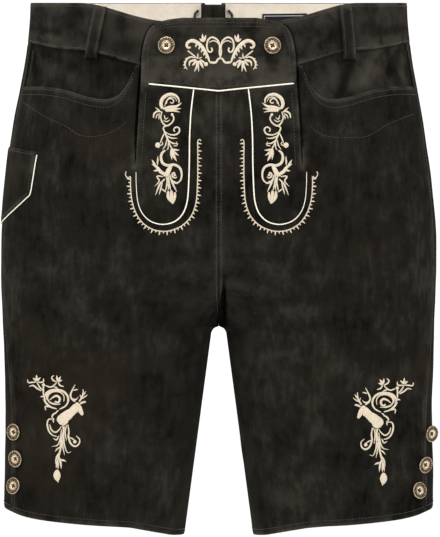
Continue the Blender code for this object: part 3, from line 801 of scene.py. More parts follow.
def slitShade(at):
    # Dark under the free edge of the flap, from the waistband down to where the slit opens
    angle = curveValue(flap["edge"], at.z) if at.z > flap["edge"][0][0] else flap["widest"]
    away = abs(at.x) - formPoint(angle, at.z).x
    start, over = flap["shadeOut"]
    across = smoothStep((away + flap["clear"]) / flap["shadeIn"]) * (1 - smoothStep((away - start) / over))
    along = smoothStep((at.z - flap["shadeFoot"]) / 4) * (1 - smoothStep((at.z - flap["shadeTop"]) / 3))
    return -flap["shade"][1 if at.x > 0 else -1] * across * along


def barHeight(x):
    return flap["barCentre"] + flap["barSlope"] * abs(x)


pocket = {
    # angle, height of the mouth from the flap to the side seam
    "mouth": (
        (24.5, -63.6), (25.6, -73.0), (27.0, -82.5), (29.2, -91.0), (32.6, -95.2), (38.5, -93.4),
        (44.0, -89.4), (50.0, -85.4), (57.0, -82.8), (64.0, -81.6), (71.0, -81.0), (78.0, -80.6),
    ),
    "tuck": 8.0,
    "drop": 12.0,
    "dip": 3.2,
    "facing": (24.1, 77.2),
    "height": 55.0,
    # how strongly the creases are painted: painted shade in the hollows, paler on the ridges as wear and
    # painted highlight
    "creaseTone": 0.17,
    "creases": {
        -1: (
            (-178, -44, -170, -78, -3.4, 3.4),
            (-166, -50, -128, -66, -2.6, 4.6),
            (-158, -66, -128, -82, 1.1, 8.0),
            (-112, -62, -100, -92, -1.8, 5.0),
        ),
        1: (
            (122, -64, 112, -92, -3.6, 4.2),
            (150, -50, 134, -78, 1.8, 7.0),
            (170, -50, 158, -74, -1.8, 5.0),
            (98, -64, 102, -86, -1.2, 5.0),
        ),
    },
    # how much paler each facing is painted: painted light on the wearer's left, the wearer's right kept dark
    # as painted shade
    "faded": {-1: 0.06, 1: 0.46},
}


def sideTop(column):
    # Top edge of the front beside the flap: up to the waistband, then along the pocket mouth
    firstAngle, firstHeight = pocket["mouth"][0]
    if column >= firstAngle:
        return curveValue(pocket["mouth"], column)
    share = (column - flap["widest"]) / (firstAngle - flap["widest"])
    return mix(bandFoot(column) - form["seam"], firstHeight, max(0.0, share))


front = {
    # columns a little apart beside the middle seam, where the tuck is
    "fineTo": 9.0,
    "fineStep": 0.8,
    # height of the flap's loose part, and the rows beside it from the bottom up
    "rise": 70.0,
    "lowRises": (0.0, 0.05, 0.1, 0.16, 0.23, 0.3),
    # the tone round the crotch: where it begins, how much paler and how wide, and how dark the seam is
    "toneTop": -190.0,
    "toneFrom": -200.0,
    "toneOver": 50.0,
    "paler": 0.16,
    "palerWide": 52.0,
    "seamDark": 0.5,
    "seamWide": 2.4,
}


def frontPanel(side):
    step, fineTo = form["grid"], degree * front["fineTo"]
    flapColumns = [degree * away for away in (0.0, *besideEdge)]
    flapColumns += evenTicks(degree * form["grid"], fineTo, front["fineStep"], degree)
    flapColumns += ticks(fineTo, flap["widest"], step, degree, fineLow=False)[1:]
    sideColumns = ticks(flap["widest"], form["seamTop"], step, degree)
    top = form["legTop"]

    def legSpot(column, row):
        height = legHeight(frontAngle(column, form["hemSample"]), row)
        return besideSeam(side, frontAngle(column, height), height, flapLift(height))

    def flapSpot(column, rise):
        angle = frontAngle(column, top)
        opening = (column / flap["widest"]) ** 8 * smoothStep(rise / 0.12)
        angle = turned(angle, top, -flap["clear"] * opening)
        foot = barHeight(formPoint(angle, flap["barCentre"]).x) - form["seam"] / 2
        height = mix(top, foot, rise)
        return besideSeam(side, angle, height, flapLift(height))

    def sideSpot(column, rise):
        height = mix(top, sideTop(column), rise)
        return besideSeam(side, frontAngle(column, top), height)

    lowRises = list(front["lowRises"])
    fromFlap = evenTicks(0.0, 1.0, step / front["rise"])
    rises = lowRises + [0.3 + 0.7 * share for share in fromFlap[1:-1]] + [0.985, 1.0]
    underlapColumns = ticks(flap["underlap"], flap["widest"], step, degree)[:-1] + sideColumns

    def rub(at):
        # Painted shadow under the flap's free edge higher up; lower down painted shade in the tuck, a little
        # paler around the crotch, and less worn along the seam there
        if at.y > pinch["behind"]:
            return 0.0
        if at.z > front["toneTop"]:
            return slitShade(at)
        low = smoothStep((front["toneFrom"] - at.z) / front["toneOver"])
        paler = front["paler"] * math.exp(-((at.x / front["palerWide"]) ** 2))
        paler -= front["seamDark"] * math.exp(-abs(at.x) / front["seamWide"])
        return paler * low + pinch["dark"] * pinchShare(at.x, at.z)

    patches = (
        (flapColumns + sideColumns[1:], legRows(), legSpot),
        (flapColumns, ticks(0.0, 1.0, step, 1 / front["rise"], fineLow=False), flapSpot),
        (sideColumns, lowRises, sideSpot),
        (underlapColumns, rises[len(lowRises) - 1:], sideSpot),
    )
    name = f"front_{halfName(side)}"
    made = hideWall(name, patches, fade=0.03, rub=rub)


def backPanel(side):
    step = form["grid"]
    columns = ticks(form["seamTop"], 180.0, step, degree)
    top, backTop = form["legTop"], form["backTop"]
    rows = legRows() + ticks(top, backTop, step, fineLow=False)[1:]

    def spot(column, row):
        if row > top:
            crown = bandFoot(column) - form["seam"]
            height = mix(top, crown, (row - top) / (backTop - top))
        else:
            height = legHeight(backAngle(column, form["hemSample"]), row)
        return besideSeam(side, backAngle(column, height), height)

    name = f"back_{halfName(side)}"
    made = hideWall(name, [(columns, rows, spot)], fade=0.03)


notch = {
    "centre": -5.4,
    "top": 8.0,
    "foot": 2.0,
    "footHeight": -31.0,
    "bandHeight": 40.0,
    # how strongly the band's creases are painted: painted shade in the hollows, paler on the ridges as wear
    # and painted highlight
    "creaseTone": 0.22,
    # angle where the band's creases have ended, and the degrees over which they fade
    "creaseEnd": 88.0,
    "creaseOver": 24.0,
    # angles between which the band's columns stand close, where the flap's edge throws its shade
    "fineColumns": (12.0, 26.0),
    "lining": 11.5,
    "inset": 0.9,
    "insetTop": 0.75,
    # angles from which the band and its lining turn towards the notch
    "bandTurn": 165.0,
    "liningTurn": 160.0,
}


def notchEdge(side, height):
    share = (height - notch["footHeight"]) / (form["waistTilt"] - notch["footHeight"])
    opening = mix(notch["foot"], notch["top"], clamp(share))
    return angleAt(opening + side * notch["centre"], height, atFront=False)


# The same rows as in folds, for the front of the waistband
bandCreases = (
    (-184, -31, -146, -40, 1.5, 3.2),
    (-182, -24, -150, -32, -1.3, 3.0),
    (-156, -20, -128, -13, -1.0, 3.4),
    (-132, -30, -118, -42, -0.9, 4.0),
    (-92, -24, -84, -50, -1.1, 5.0),
    (182, -24, 148, -33, -1.2, 3.4),
    (180, -33, 142, -43, 1.3, 3.8),
    (164, -12, 146, -21, 1.0, 3.6),
    (118, -28, 98, -42, -1.2, 4.6),
    (96, -22, 82, -34, 0.9, 4.0),
)


def waistband(side):
    turnFrom = notch["bandTurn"]

    def spot(column, v):
        height = mix(bandFoot(column), waistTop(column), v)
        if column > turnFrom:
            column = mix(turnFrom, notchEdge(side, height), (column - turnFrom) / (180 - turnFrom))
        raised = 0.0
        if column < 90:
            clearOfEdges = smoothStep(min(v, 1 - v) / 0.25)
            clearOfEdges *= smoothStep((notch["creaseEnd"] - column) / notch["creaseOver"])
            raised = clearOfEdges * creases(bandCreases, side * formPoint(column, height).x, height)
        return besideSeam(side, column, height, raised)

    def rub(at):
        # Painted shade in the creases and under the flap's free edge, paler on the ridges
        if at.y >= folds["parting"]:
            return 0.0
        return notch["creaseTone"] * creases(bandCreases, at.x, at.z) + slitShade(at)

    first, last = notch["fineColumns"]
    columns = ticks(0.0, first, form["grid"], degree, fineHigh=False)[:-1]
    columns += evenTicks(first, last, front["fineStep"], degree)[:-1]
    columns += ticks(last, 180.0, form["grid"], degree, fineLow=False)
    rows = ticks(0.0, 1.0, form["grid"], 1 / notch["bandHeight"])
    name = f"waistband_{halfName(side)}"
    made = hideWall(name, [(columns, rows, spot)], roll=0.45, fade=0.3, rub=rub)


def waistLining(side):
    turnFrom = notch["liningTurn"]

    def spot(column, v):
        height = mix(bandFoot(column) + notch["inset"], waistTop(column) - notch["insetTop"], v)
        if column > turnFrom:
            last = angleAt(notch["lining"] + side * notch["centre"], height, atFront=False)
            column = mix(turnFrom, last, (column - turnFrom) / (180 - turnFrom))
        return besideSeam(side, column, height, -form["hide"] - form["seam"])

    columns = ticks(90.0, 180.0, 3.0, degree)
    rows = ticks(0.0, 1.0, 3.0, 1 / notch["bandHeight"])
    name = f"waist_lining_{halfName(side)}"
    patches = [(columns, rows, spot)]
    made = leatherWall(f"cloth_{name}", patches, "lining", "lining", [name], 1.0, 0.3, 1.5)


def flapBand():
    widest, depth = flap["widest"], flap["depth"]
    corner, cornerAngle = flap["edge"][0]
    heights = [corner + form["grid"] * k for k in range(1, 11)] + list(flap["topRows"])

    def spot(column, row):
        across = abs(column) / widest
        if row >= corner:
            height = row
            angle = across * curveValue(flap["edge"], row)
        else:
            share = (corner - row) / depth
            angle = across * mix(cornerAngle, turned(widest, flap["barCentre"], -flap["clear"]), share)
            foot = barHeight(formPoint(angle, flap["barCentre"]).x) + form["seam"] / 2
            height = mix(corner, foot, share)
        return surfaceAt(1 if column >= 0 else -1, angle, height, flap["lift"])

    def rub(at):
        # Paler towards the bar, a little darker at both ends
        (paler, height, down), (darker, x, across) = flap["paler"], flap["darker"]
        return paler * smoothStep((height - at.z) / down) - darker * smoothStep((abs(at.x) - x) / across)

    columns = ticks(-widest, widest, form["grid"], degree)
    rows = ticks(corner - depth, corner, form["grid"], fineHigh=False) + heights
    made = hideWall("flap_band", [(columns, rows, spot)], roll=0.6, fade=0.38, rub=rub)


def pocketFacing(side):
    low, high = pocket["facing"]
    lift = -form["hide"] - form["seam"]

    def spot(column, v):
        foot, top = curveValue(pocket["mouth"], column) - pocket["drop"], bandFoot(column) + pocket["tuck"]
        height = mix(foot, top, v)
        u = (column - low) / (high - low)
        hollow = math.sin(math.pi * v) * math.sin(math.pi * u)
        raised = creases(pocket["creases"][side], side * formPoint(column, height).x, height)
        inside = lift - pocket["dip"] * hollow + min(0.0, raised - 1.0) * min(1.0, 3 * hollow)
        return besideSeam(side, column, height, inside)

    def rub(at):
        # Painted shade in the creases, paler on the ridges
        return pocket["creaseTone"] * creases(pocket["creases"][side], at.x, at.z)

    columns = evenTicks(low, high, form["grid"], degree)
    rows = evenTicks(0.0, 1.0, form["grid"], 1 / pocket["height"])
    name = f"pocket_facing_{halfName(side)}"
    made = hideWall(name, [(columns, rows, spot)], worn=0.0, fade=pocket["faded"][side], rub=rub)


knife = {
    # angle, top and bottom height
    "outline": (
        (60, -143.6, -182.8), (65, -141.9, -190.8), (70, -140.3, -197.1), (75, -138.9, -201.9),
        (78, -138.2, -204.2), (82, -137.5, -206.7), (86, -137.2, -209.0), (90, -138.0, -205.0),
        (95, -138.0, -199.0), (100, -138.2, -193.0),
    ),
    "hide": 0.9,
    "pipingFrom": 2.6,
    "front": 60.0,
    "point": 86.0,
    "back": 100.0,
    "height": 55.0,
    # how far the front edge leans forward at its top, and from which height over how much of it
    "lean": 4.6,
    "leanFrom": -184.0,
    "leanOver": 44.0,
}


def knifeAngle(column, height):
    # The front edge leans forward towards its top
    back = knife["back"]
    leaning = clamp((height - knife["leanFrom"]) / knife["leanOver"])
    leaning *= (back - column) / (back - knife["front"])
    return turned(thighAngle(column, height), height, -knife["lean"] * leaning)


def knifePocket():
    lift = knife["hide"] + form["seam"]

    def spot(column, v):
        top, bottom = (straightValue(knife["outline"], column, k) for k in (1, 2))
        height = mix(bottom, top, v)
        return besideSeam(-1, knifeAngle(column, height), height, lift)

    columns = ticks(knife["front"], knife["point"], 2.0, degree, fineHigh=False)
    columns += ticks(knife["point"], knife["back"], 2.0, degree, fineLow=False)[1:]
    rows = ticks(0.0, 1.0, 2.2, 1 / knife["height"])
    made = hideWall("knife_pocket", [(columns, rows, spot)], knife["hide"], fade=0.1)


loops = {
    # node, side, top angle, end angle, end height, hide that the end lies on
    "rows": (
        ("belt_loop_front_right", -1, 37.7, 40.4, -59.0, -2.1),
        ("belt_loop_front_left", 1, 40.9, 41.4, -60.0, -2.1),
        ("belt_loop_back_right", -1, 138.0, 138.0, -44.0, 0.0),
        ("belt_loop_back_left", 1, 138.0, 138.0, -44.0, 0.0),
    ),
    "width": 12.4,
    "length": 48.0,
    "rise": 2.4,
    "hide": 1.5,
    # share of the loop that stands free, and height of its crown across
    "free": 0.9,
    "crown": 0.35,
    # how much painted highlight over the top and painted shade at the end, and from where over how much
    # height
    "rubbed": (0.4, 9.0, 7.0),
    "dark": (1.3, 4.0, 3.5),
}


def loopStart(topAngle):
    # Height where a loop is sewn on, and the leather's width for each degree there
    top = waistTop(topAngle) - 1.0
    return top, (formPoint(topAngle + 1, top) - formPoint(topAngle - 1, top)).length / 2


def loopArch(v):
    free = loops["free"]
    return loops["rise"] * math.sin(math.pi * min(1.0, v / free)) ** 0.5 if v < free else 0.0


def beltLoop(node, side, topAngle, endAngle, endHeight, endLift):
    top, reach = loopStart(topAngle)
    half = loops["width"] / 2 / reach

    def spot(u, v):
        height = mix(top, endHeight, v)
        angle = mix(topAngle, endAngle, v) + mix(-half, half, u)
        tucked = endLift * max(0.0, v - loops["free"]) / (1 - loops["free"])
        crown = loops["crown"] * math.sin(math.pi * u)
        return surfaceAt(side, angle, height, form["seam"] + loops["hide"] + loopArch(v) + tucked + crown)

    def rub(at):
        # Painted highlight over the top, painted shade where the lower end tucks in
        (rubbed, under, up), (dark, above, down) = loops["rubbed"], loops["dark"]
        paler = rubbed * smoothStep((at.z - top + under) / up)
        return paler - dark * smoothStep((endHeight + above - at.z) / down)

    columns = ticks(0.0, 1.0, 1.6, 1 / loops["width"])
    rows = ticks(0.0, 1.0, 1.3, 1 / loops["length"])
    made = hideWall(node, [(columns, rows, spot)], loops["hide"], 0.5, 1.4, rub=rub)


for side in (1, -1):
    frontPanel(side)
    backPanel(side)
    waistband(side)
    waistLining(side)
    pocketFacing(side)
flapBand()
knifePocket()
for row in loops["rows"]:
    beltLoop(*row)
print("leather and lining done")


def smoothRoute(points, step):
    # Points about a step apart on a smooth curve through the given ones
    points = [Vector(point) for point in points]
    fine = []
    for k in range(len(points) - 1):
        here, there = points[k], points[k + 1]
        before = points[k - 1] if k > 0 else here * 2 - there
        after = points[k + 2] if k + 2 < len(points) else there * 2 - here
        for n in range(10):
            t = n / 10
            fine.append(
                0.5 * (2 * here + (there - before) * t
                + (2 * before - 5 * here + 4 * there - after) * t**2
                + (3 * here - before - 3 * there + after) * t**3)
            )
    fine.append(points[-1])
    total = lineLength(fine)
    count = max(2, round(total / step))
    return pointsAlong(fine, [total * k / count for k in range(count + 1)])


def flatRoute(pairs, step):
    return smoothRoute([(x, height, 0.0) for x, height in pairs], step)


def pointsAlong(line, distances):
    # Points of a polyline at the given distances from its start, which stand in order
    found, walked, k = [], 0.0, 0
    for wanted in distances:
        while k < len(line) - 2 and walked + (line[k + 1] - line[k]).length < wanted:
            walked += (line[k + 1] - line[k]).length
            k += 1
        length = (line[k + 1] - line[k]).length
        found.append(line[k].lerp(line[k + 1], min(1.0, (wanted - walked) / max(length, 1e-9))))
    return found


def lineLength(line):
    return sum((b - a).length for a, b in zip(line, line[1:]))


def tubePiece(name, routes, radius, finish, nodes=(), resolution=3):
    # Round cords, given as world points with a share of the radius at each
    curve = bpy.data.curves.new(name, "CURVE")
    curve.dimensions = "3D"
    curve.bevel_depth = radius * mm
    curve.bevel_resolution = resolution
    curve.use_fill_caps = True
    for route in routes:
        spline = curve.splines.new("POLY")
        spline.points.add(len(route) - 1)
        for knot, (point, share) in zip(spline.points, route):
            knot.co = (*point, 1.0)
            knot.radius = share
    maker = bpy.data.objects.new(name, curve)
    bpy.context.collection.objects.link(maker)
    bpy.context.view_layer.update()
    data = bpy.data.meshes.new_from_object(maker.evaluated_get(bpy.context.evaluated_depsgraph_get()))
    bpy.data.objects.remove(maker)
    mesh = bmesh.new()
    mesh.from_mesh(data)
    bmesh.ops.remove_doubles(mesh, verts=mesh.verts, dist=0.002 * mm)
    bmesh.ops.recalc_face_normals(mesh, faces=mesh.faces)
    data.materials.clear()
    data.materials.append(finishes[finish])
    mesh.to_mesh(data)
    mesh.free()
    data.shade_smooth()
    data.name = name
    return addPiece(name, data, finish, nodes)


stitch = {
    "pitch": 3.1,
    "loopPitch": 2.7,
    "length": 2.4,
    "radius": 0.27,
    # share of the length from the middle, height off the hide, share of the radius
    "shape": ((-0.5, -0.12, 0.55), (-0.22, 0.12, 1.0), (0.22, 0.12, 1.0), (0.5, -0.12, 0.55)),
    # distance of each row from the edge or seam beside it
    "hem": 5.6,
    "mouth": (2.6, 7.6),
    "flap": 5.6,
    "bar": 3.4,
    "band": (2.0, 3.2),
    "notch": 1.0,
    "seam": (2.2, 2.6),
    "loop": 1.9,
    "knife": (3.4, 3.0, 3.2),
    # first and last place of each row, and the step along it
    "spans": {
        "mouth": (25.0, 77.0, 1.0),
        "flapUpper": (-30.0, -81.0, 2.0),
        "flapLower": (-90.0, -157.0, 2.0),
        "bar": (1.0, 62.0, 2.0),
        "bandFoot": (0.5, 176.0, 1.0),
        "bandTop": (0.5, 173.5, 1.0),
        "notch": (3.5, -30.0, 2.0),
        "middleLeft": (-92.0, -276.0, 3.0),
        "middleRight": (-92.0, -296.0, 3.0),
        "middleBack": (-52.0, -298.0, 3.0),
        "side": (-47.0, -474.0, 3.0),
        "loop": (0.04, 0.88, 0.04),
        "knifeFoot": (61.5, 98.5, 0.7),
        "knifeTop": (61.0, 99.0, 0.7),
        "knifeEdge": (-147.0, -180.0, 2.0),
    },
    # angle, height of the two rows along the top of the flap
    "flapTops": (
        ((15.4, -27.2), (12.8, -25.7), (9.6, -25.3), (5.0, -25.3), (0.0, -25.3)),
        ((18.4, -32.0), (16.2, -30.0), (13.2, -28.8), (9.6, -28.6), (5.0, -28.6), (0.0, -28.6)),
    ),
    # x and height of the sewn line that holds the pocket bag, on the wearer's left and right
    "pocketBag": {
        1: (
            (183.0, -107.0), (168.5, -113.0), (156.0, -118.6), (140.8, -128.0), (129.4, -130.6),
            (104.0, -130.4), (91.5, -126.2), (85.0, -120.0),
        ),
        -1: (
            (-184.0, -96.0), (-163.0, -110.0), (-143.0, -119.4), (-129.0, -128.4), (-112.0, -129.6),
            (-96.0, -124.4), (-86.0, -117.0),
        ),
    },
}


def stitches(spots, pitch=stitch["pitch"]):
    # Separate stitches along a run of (world point, outward direction)
    pitch = pitch * mm
    length = stitch["length"] * pitch / stitch["pitch"]
    line = [point for point, _ in spots]
    count = max(1, round(lineLength(line) / pitch))
    step = lineLength(line) / count
    made, walked, k = [], 0.0, 0
    for n in range(count):
        wanted = (n + 0.5) * step
        while k < len(line) - 2 and walked + (line[k + 1] - line[k]).length < wanted:
            walked += (line[k + 1] - line[k]).length
            k += 1
        along = (line[k + 1] - line[k]).normalized()
        centre = line[k] + along * (wanted - walked)
        outward = spots[k][1]
        made.append([
            (centre + along * (shift * length) + outward * (lift * mm), share)
            for shift, lift, share in stitch["shape"]
        ])
    return made


def runOf(spot, low, high, step):
    # Spots from a function of one value, at about the given step of that value
    count = max(2, round(abs(high - low) / step))
    return [spot(mix(low, high, k / count)) for k in range(count + 1)]


def sew(name, spot, pitch=stitch["pitch"]):
    return stitches(runOf(spot, *stitch["spans"][name]), pitch)


def hemRun(side, atFront):
    first, last = (0.0, form["seamTop"]) if atFront else (form["seamTop"], 180.0)
    angleOf = frontAngle if atFront else backAngle

    def spot(column):
        height = hemHeight(angleOf(column, form["hemSample"])) + stitch["hem"]
        return besideSeam(side, angleOf(column, height), height)

    return stitches(runOf(spot, first + 0.8, last - 0.8, 1.2))


def mouthRun(side, below):
    # A row below the pocket mouth, following it
    def spot(column):
        return besideSeam(side, frontAngle(column, form["legTop"]), sideTop(column) - below)

    return sew("mouth", spot)


def flapInset(height):
    # Angle that lies a little inside the free edge of the flap
    if height > flap["edge"][0][0]:
        edge = curveValue(flap["edge"], height)
    else:
        edge = turned(flap["widest"], flap["barCentre"], -flap["clear"])
    return turned(edge, height, -stitch["flap"])


def flapRuns():
    runs, top = [], stitch["spans"]["flapUpper"][0]
    for side in (1, -1):
        def downSpot(height):
            return surfaceAt(side, flapInset(height), height, flapLift(height))

        def barSpot(x):
            return frontAt(side * x, barHeight(x) + stitch["bar"], flap["lift"])

        runs += [sew("flapUpper", downSpot), sew("flapLower", downSpot)]
        outer, inner = stitch["flapTops"]
        for row in ([(flapInset(top), top), *outer], inner):
            line = flatRoute(row, 1.0)
            runs.append(stitches([surfaceAt(side, at.x, at.y, flap["lift"]) for at in line]))
        runs.append(sew("bar", barSpot))
    return runs


def waistRuns(side):
    foot, top = stitch["band"]

    def footSpot(column):
        return besideSeam(side, column, bandFoot(column) + foot)

    def topSpot(column):
        return besideSeam(side, column, waistTop(column) - top)

    def notchSpot(height):
        return besideSeam(side, notchEdge(side, height) - stitch["notch"], height)

    return [sew("bandFoot", footSpot), sew("bandTop", topSpot), sew("notch", notchSpot)]


def seamRuns(side):
    middle, outer = stitch["seam"]

    def middleSpot(height):
        return besideSeam(side, turned(innerAngle(height, True), height, middle), height, flapLift(height))

    def middleBackSpot(height):
        return besideSeam(side, turned(innerAngle(height, False), height, -middle), height)

    def sideSpot(height):
        return besideSeam(side, turned(seamAngle(height), height, outer), height)

    half = "middleLeft" if side > 0 else "middleRight"
    return [sew(half, middleSpot), sew("middleBack", middleBackSpot), sew("side", sideSpot)]


def pocketBagRun(side):
    return stitches([frontAt(at.x, at.y, 0.0) for at in flatRoute(stitch["pocketBag"][side], 2.5)])


def loopRuns(side, topAngle, endAngle, endHeight):
    top, reach = loopStart(topAngle)
    runs = []
    for inset in (-1, 1):
        def spot(v):
            height = mix(top, endHeight, v)
            angle = mix(topAngle, endAngle, v) + inset * (loops["width"] / 2 - stitch["loop"]) / reach
            return surfaceAt(side, angle, height, form["seam"] + loops["hide"] + loopArch(v) + 0.1)

        runs.append(sew("loop", spot, stitch["loopPitch"]))
    return runs


def knifeRuns():
    lift = knife["hide"] + form["seam"]
    foot, top, edge = stitch["knife"]

    def along(column, height):
        return surfaceAt(-1, knifeAngle(column, height), height, lift)

    def footSpot(column):
        return along(column, straightValue(knife["outline"], column, 2) + foot)

    def topSpot(column):
        return along(column, straightValue(knife["outline"], column, 1) - top)

    def edgeSpot(height):
        return along(turned(knife["front"], height, edge), height)

    return [sew("knifeFoot", footSpot), sew("knifeTop", topSpot), sew("knifeEdge", edgeSpot)]


def makeStitching():
    rows = {"hems": [], "pockets": [], "seams": [], "waist": [], "flap": flapRuns()}
    for side in (1, -1):
        rows["hems"] += [hemRun(side, True), hemRun(side, False)]
        rows["pockets"] += [mouthRun(side, below) for below in stitch["mouth"]] + [pocketBagRun(side)]
        rows["seams"] += seamRuns(side)
        rows["waist"] += waistRuns(side)
    rows["pockets"] += knifeRuns()
    for row in loops["rows"]:
        rows["waist"] += loopRuns(*row[1:5])
    for name, runs in rows.items():
        strands = [one for run in runs for one in run]
        tubePiece(f"stitching_{name}", strands, stitch["radius"], "stitching", resolution=1)


makeStitching()
print("stitching done")


allowance = {
    "width": 7.0,
    "hide": 1.2,
    "hemHide": 1.4,
    "barHide": 0.8,
    "below": 0.1,
    "fold": 0.8,
    "hemRows": (0.7, 3.0, 6.0, 9.5, 13.0),
    "barRows": (-5.0, 0.0, 5.0),
    # where each starts and ends: heights, but angles for the waist and the bar
    "middle": {True: (-306.6, -90.0), False: (-306.6, form["backTop"])},
    "side": (-474.0, form["backTop"]),
    "inseam": (-486.0, -309.0),
    "waist": (form["seamTop"], 174.0),
    "bar": (-15.0, 15.0),
}


def seamAllowances():
    # The turned edges inside, pressed open along every seam
    wide, lift, fold = allowance["width"], -form["hide"] - allowance["below"], allowance["fold"]
    across = [-wide, -wide / 2, -fold, 0.0, fold, wide / 2, wide]

    def add(name, columns, rows, spot, thickness=allowance["hide"]):
        patches = [(columns, rows, spot)]
        leatherWall(f"seam_allowance_{name}", patches, "suede", "suede", [], thickness, 0.0, 1.0, 0.3)

    def middleSpot(atFront):
        def spot(away, height):
            turn = abs(away) if atFront else -abs(away)
            angle = turned(innerAngle(height, atFront), height, turn)
            raised = flapLift(height) if atFront else 0.0
            return surfaceAt(1 if away >= 0 else -1, angle, height, lift + raised)

        return spot

    for name, atFront in (("front", True), ("back", False)):
        add(name, across, evenTicks(*allowance["middle"][atFront], 4.0), middleSpot(atFront))
    for side in (1, -1):
        def sideSpot(away, height):
            return surfaceAt(side, turned(seamAngle(height), height, away), height, lift)

        def inseamSpot(away, height):
            start, step = innerAngle(height, away >= 0), math.copysign(3.0, away)
            reach = (formPoint(start + step, height) - formPoint(start, height)).length
            return surfaceAt(side, start + step * abs(away) / reach, height, lift)

        def waistSpot(column, away):
            return surfaceAt(side, column, bandFoot(column) + away, lift)

        def hemSpot(column, above):
            height = hemHeight(thighAngle(column, form["hemSample"])) + above
            return surfaceAt(side, thighAngle(column, height), height, lift - allowance["below"])

        half = halfName(side)
        add(f"side_{half}", across, evenTicks(*allowance["side"], 5.0), sideSpot)
        add(f"inseam_{half}", across, evenTicks(*allowance["inseam"], 5.0), inseamSpot)
        add(f"waist_{half}", evenTicks(*allowance["waist"], 3.0), [-wide, -wide / 2, -fold, 0.5], waistSpot)
        columns = evenTicks(0.0, 180.0, 1.5)
        add(f"hem_{half}", columns, allowance["hemRows"], hemSpot, allowance["hemHide"])

    def barSpot(column, away):
        angle, side = abs(column), 1 if column >= 0 else -1
        height = barHeight(formPoint(angle, flap["barCentre"]).x) + away
        return surfaceAt(side, angle, height, flap["lift"] + lift)

    add("bar", evenTicks(*allowance["bar"], 1.0), allowance["barRows"], barSpot, allowance["barHide"])


seamAllowances()
print("seam allowances done")


welt = {
    "radius": 0.42,
    "sunk": 0.38,
    # first and last height of each (angle for the waist), and the step along it
    "middle": (-92.0, -306.8, 2.0),
    "middleBack": (form["backTop"], -306.8, 2.0),
    "side": (form["backTop"], -475.0, 3.0),
    "inseam": (-307.1, -503.0, 1.2),
    "waist": (24.0, 180.0, 1.5),
}


def seamWelts():
    # A narrow strip of hide sewn into every seam, which closes it
    sunk = -welt["sunk"]
    strands = []

    def add(name, spot):
        strands.append([(place, 1.0) for place, _ in runOf(spot, *welt[name])])

    add("middle", lambda height: surfaceAt(1, innerAngle(height, True), height, flapLift(height) + sunk))
    add("middleBack", lambda height: surfaceAt(1, innerAngle(height, False), height, sunk))
    for side in (1, -1):
        add("side", lambda height: surfaceAt(side, seamAngle(height), height, sunk))
        add("inseam", lambda height: surfaceAt(side, innerAngle(height, True), height, sunk))
        add("waist", lambda angle: surfaceAt(side, angle, bandFoot(angle) - form["seam"] / 2, sunk))
    tubePiece("suede_welts", strands, welt["radius"], "suede", resolution=1)


seamWelts()
print("welts done")


piping = {
    "radius": 0.95,
    "sunk": 0.15,
    # share of the cord that shows beside its seam: on the bar, on the panels, on their outer arms (of the
    # panels' own) and round the knife pocket
    "barShare": 0.7,
    "panelShare": 0.66,
    "outerShare": 0.44,
    "pocketShare": 0.56,
    "beside": 1.1,
    "bar": (-64.3, 69.0),
    "barSteps": 90,
    # steps up each edge of the knife pocket and along its foot
    "edgeSteps": 20,
    "footSteps": 60,
    # share of the radius at the last two points of a cord
    "ends": (0.55, 0.9),
    # x of the inner and the outer arm: as drawn below, and on each side
    "arms": {0: (29.3, 77.5), -1: (27.1, 76.2), 1: (31.4, 81.0)},
    # x, height of the cord round the wearer's left panel
    "panel": (
        (25.2, -87.6), (27.6, -108.0), (28.8, -130.0), (29.3, -156.0), (30.2, -180.0), (31.6, -192.0),
        (35.5, -202.0), (43.0, -209.0), (53.8, -211.4), (64.5, -208.4), (72.0, -201.0), (76.0, -190.5),
        (77.4, -176.0), (77.6, -163.0),
    ),
}


def spread(route, drawn, wanted):
    # The same U with its inner and outer arm moved from where they are drawn to where they are wanted
    scale = (wanted[1] - wanted[0]) / (drawn[1] - drawn[0])
    return [(wanted[0] + (x - drawn[0]) * scale, height) for x, height in route]


def blunt(points):
    # The same radius all along, rounded off over the last points
    last, shares = len(points) - 1, (*piping["ends"], 1.0)
    return [(point, shares[min(k, last - k, 2)]) for k, point in enumerate(points)]


def cordLift(radius):
    # The height of a cord's middle when the hide has closed over its lowest part
    return form["seam"] + radius - piping["sunk"]


def flapPiping():
    radius, steps = piping["radius"] * piping["barShare"], piping["barSteps"]
    below = radius + form["seam"]
    xs = [mix(*piping["bar"], k / steps) for k in range(steps + 1)]
    bar = [frontAt(x, barHeight(x), flap["lift"] + cordLift(radius))[0] for x in xs]
    tubePiece("cord_piping_bar", [blunt(bar)], radius, "piping", ["piping_bar"])
    radius = piping["radius"] * piping["panelShare"]
    for side in (1, -1):
        route = spread(piping["panel"], piping["arms"][0], piping["arms"][side])
        route[0] = (route[0][0], barHeight(route[0][0]) - below)
        line = flatRoute(route, 1.5)
        shares = [mix(1.0, piping["outerShare"], smoothStep(2 * k / len(line) - 1)) for k in range(len(line))]
        points = [
            frontAt(side * at.x, at.y, flapLift(at.y) + cordLift(radius * share))[0]
            for at, share in zip(line, shares)
        ]
        node = f"piping_u_{halfName(side)}"
        strand = [(point, end * share) for (point, end), share in zip(blunt(points), shares)]
        tubePiece(f"cord_{node}", [strand], radius, "piping", [node])


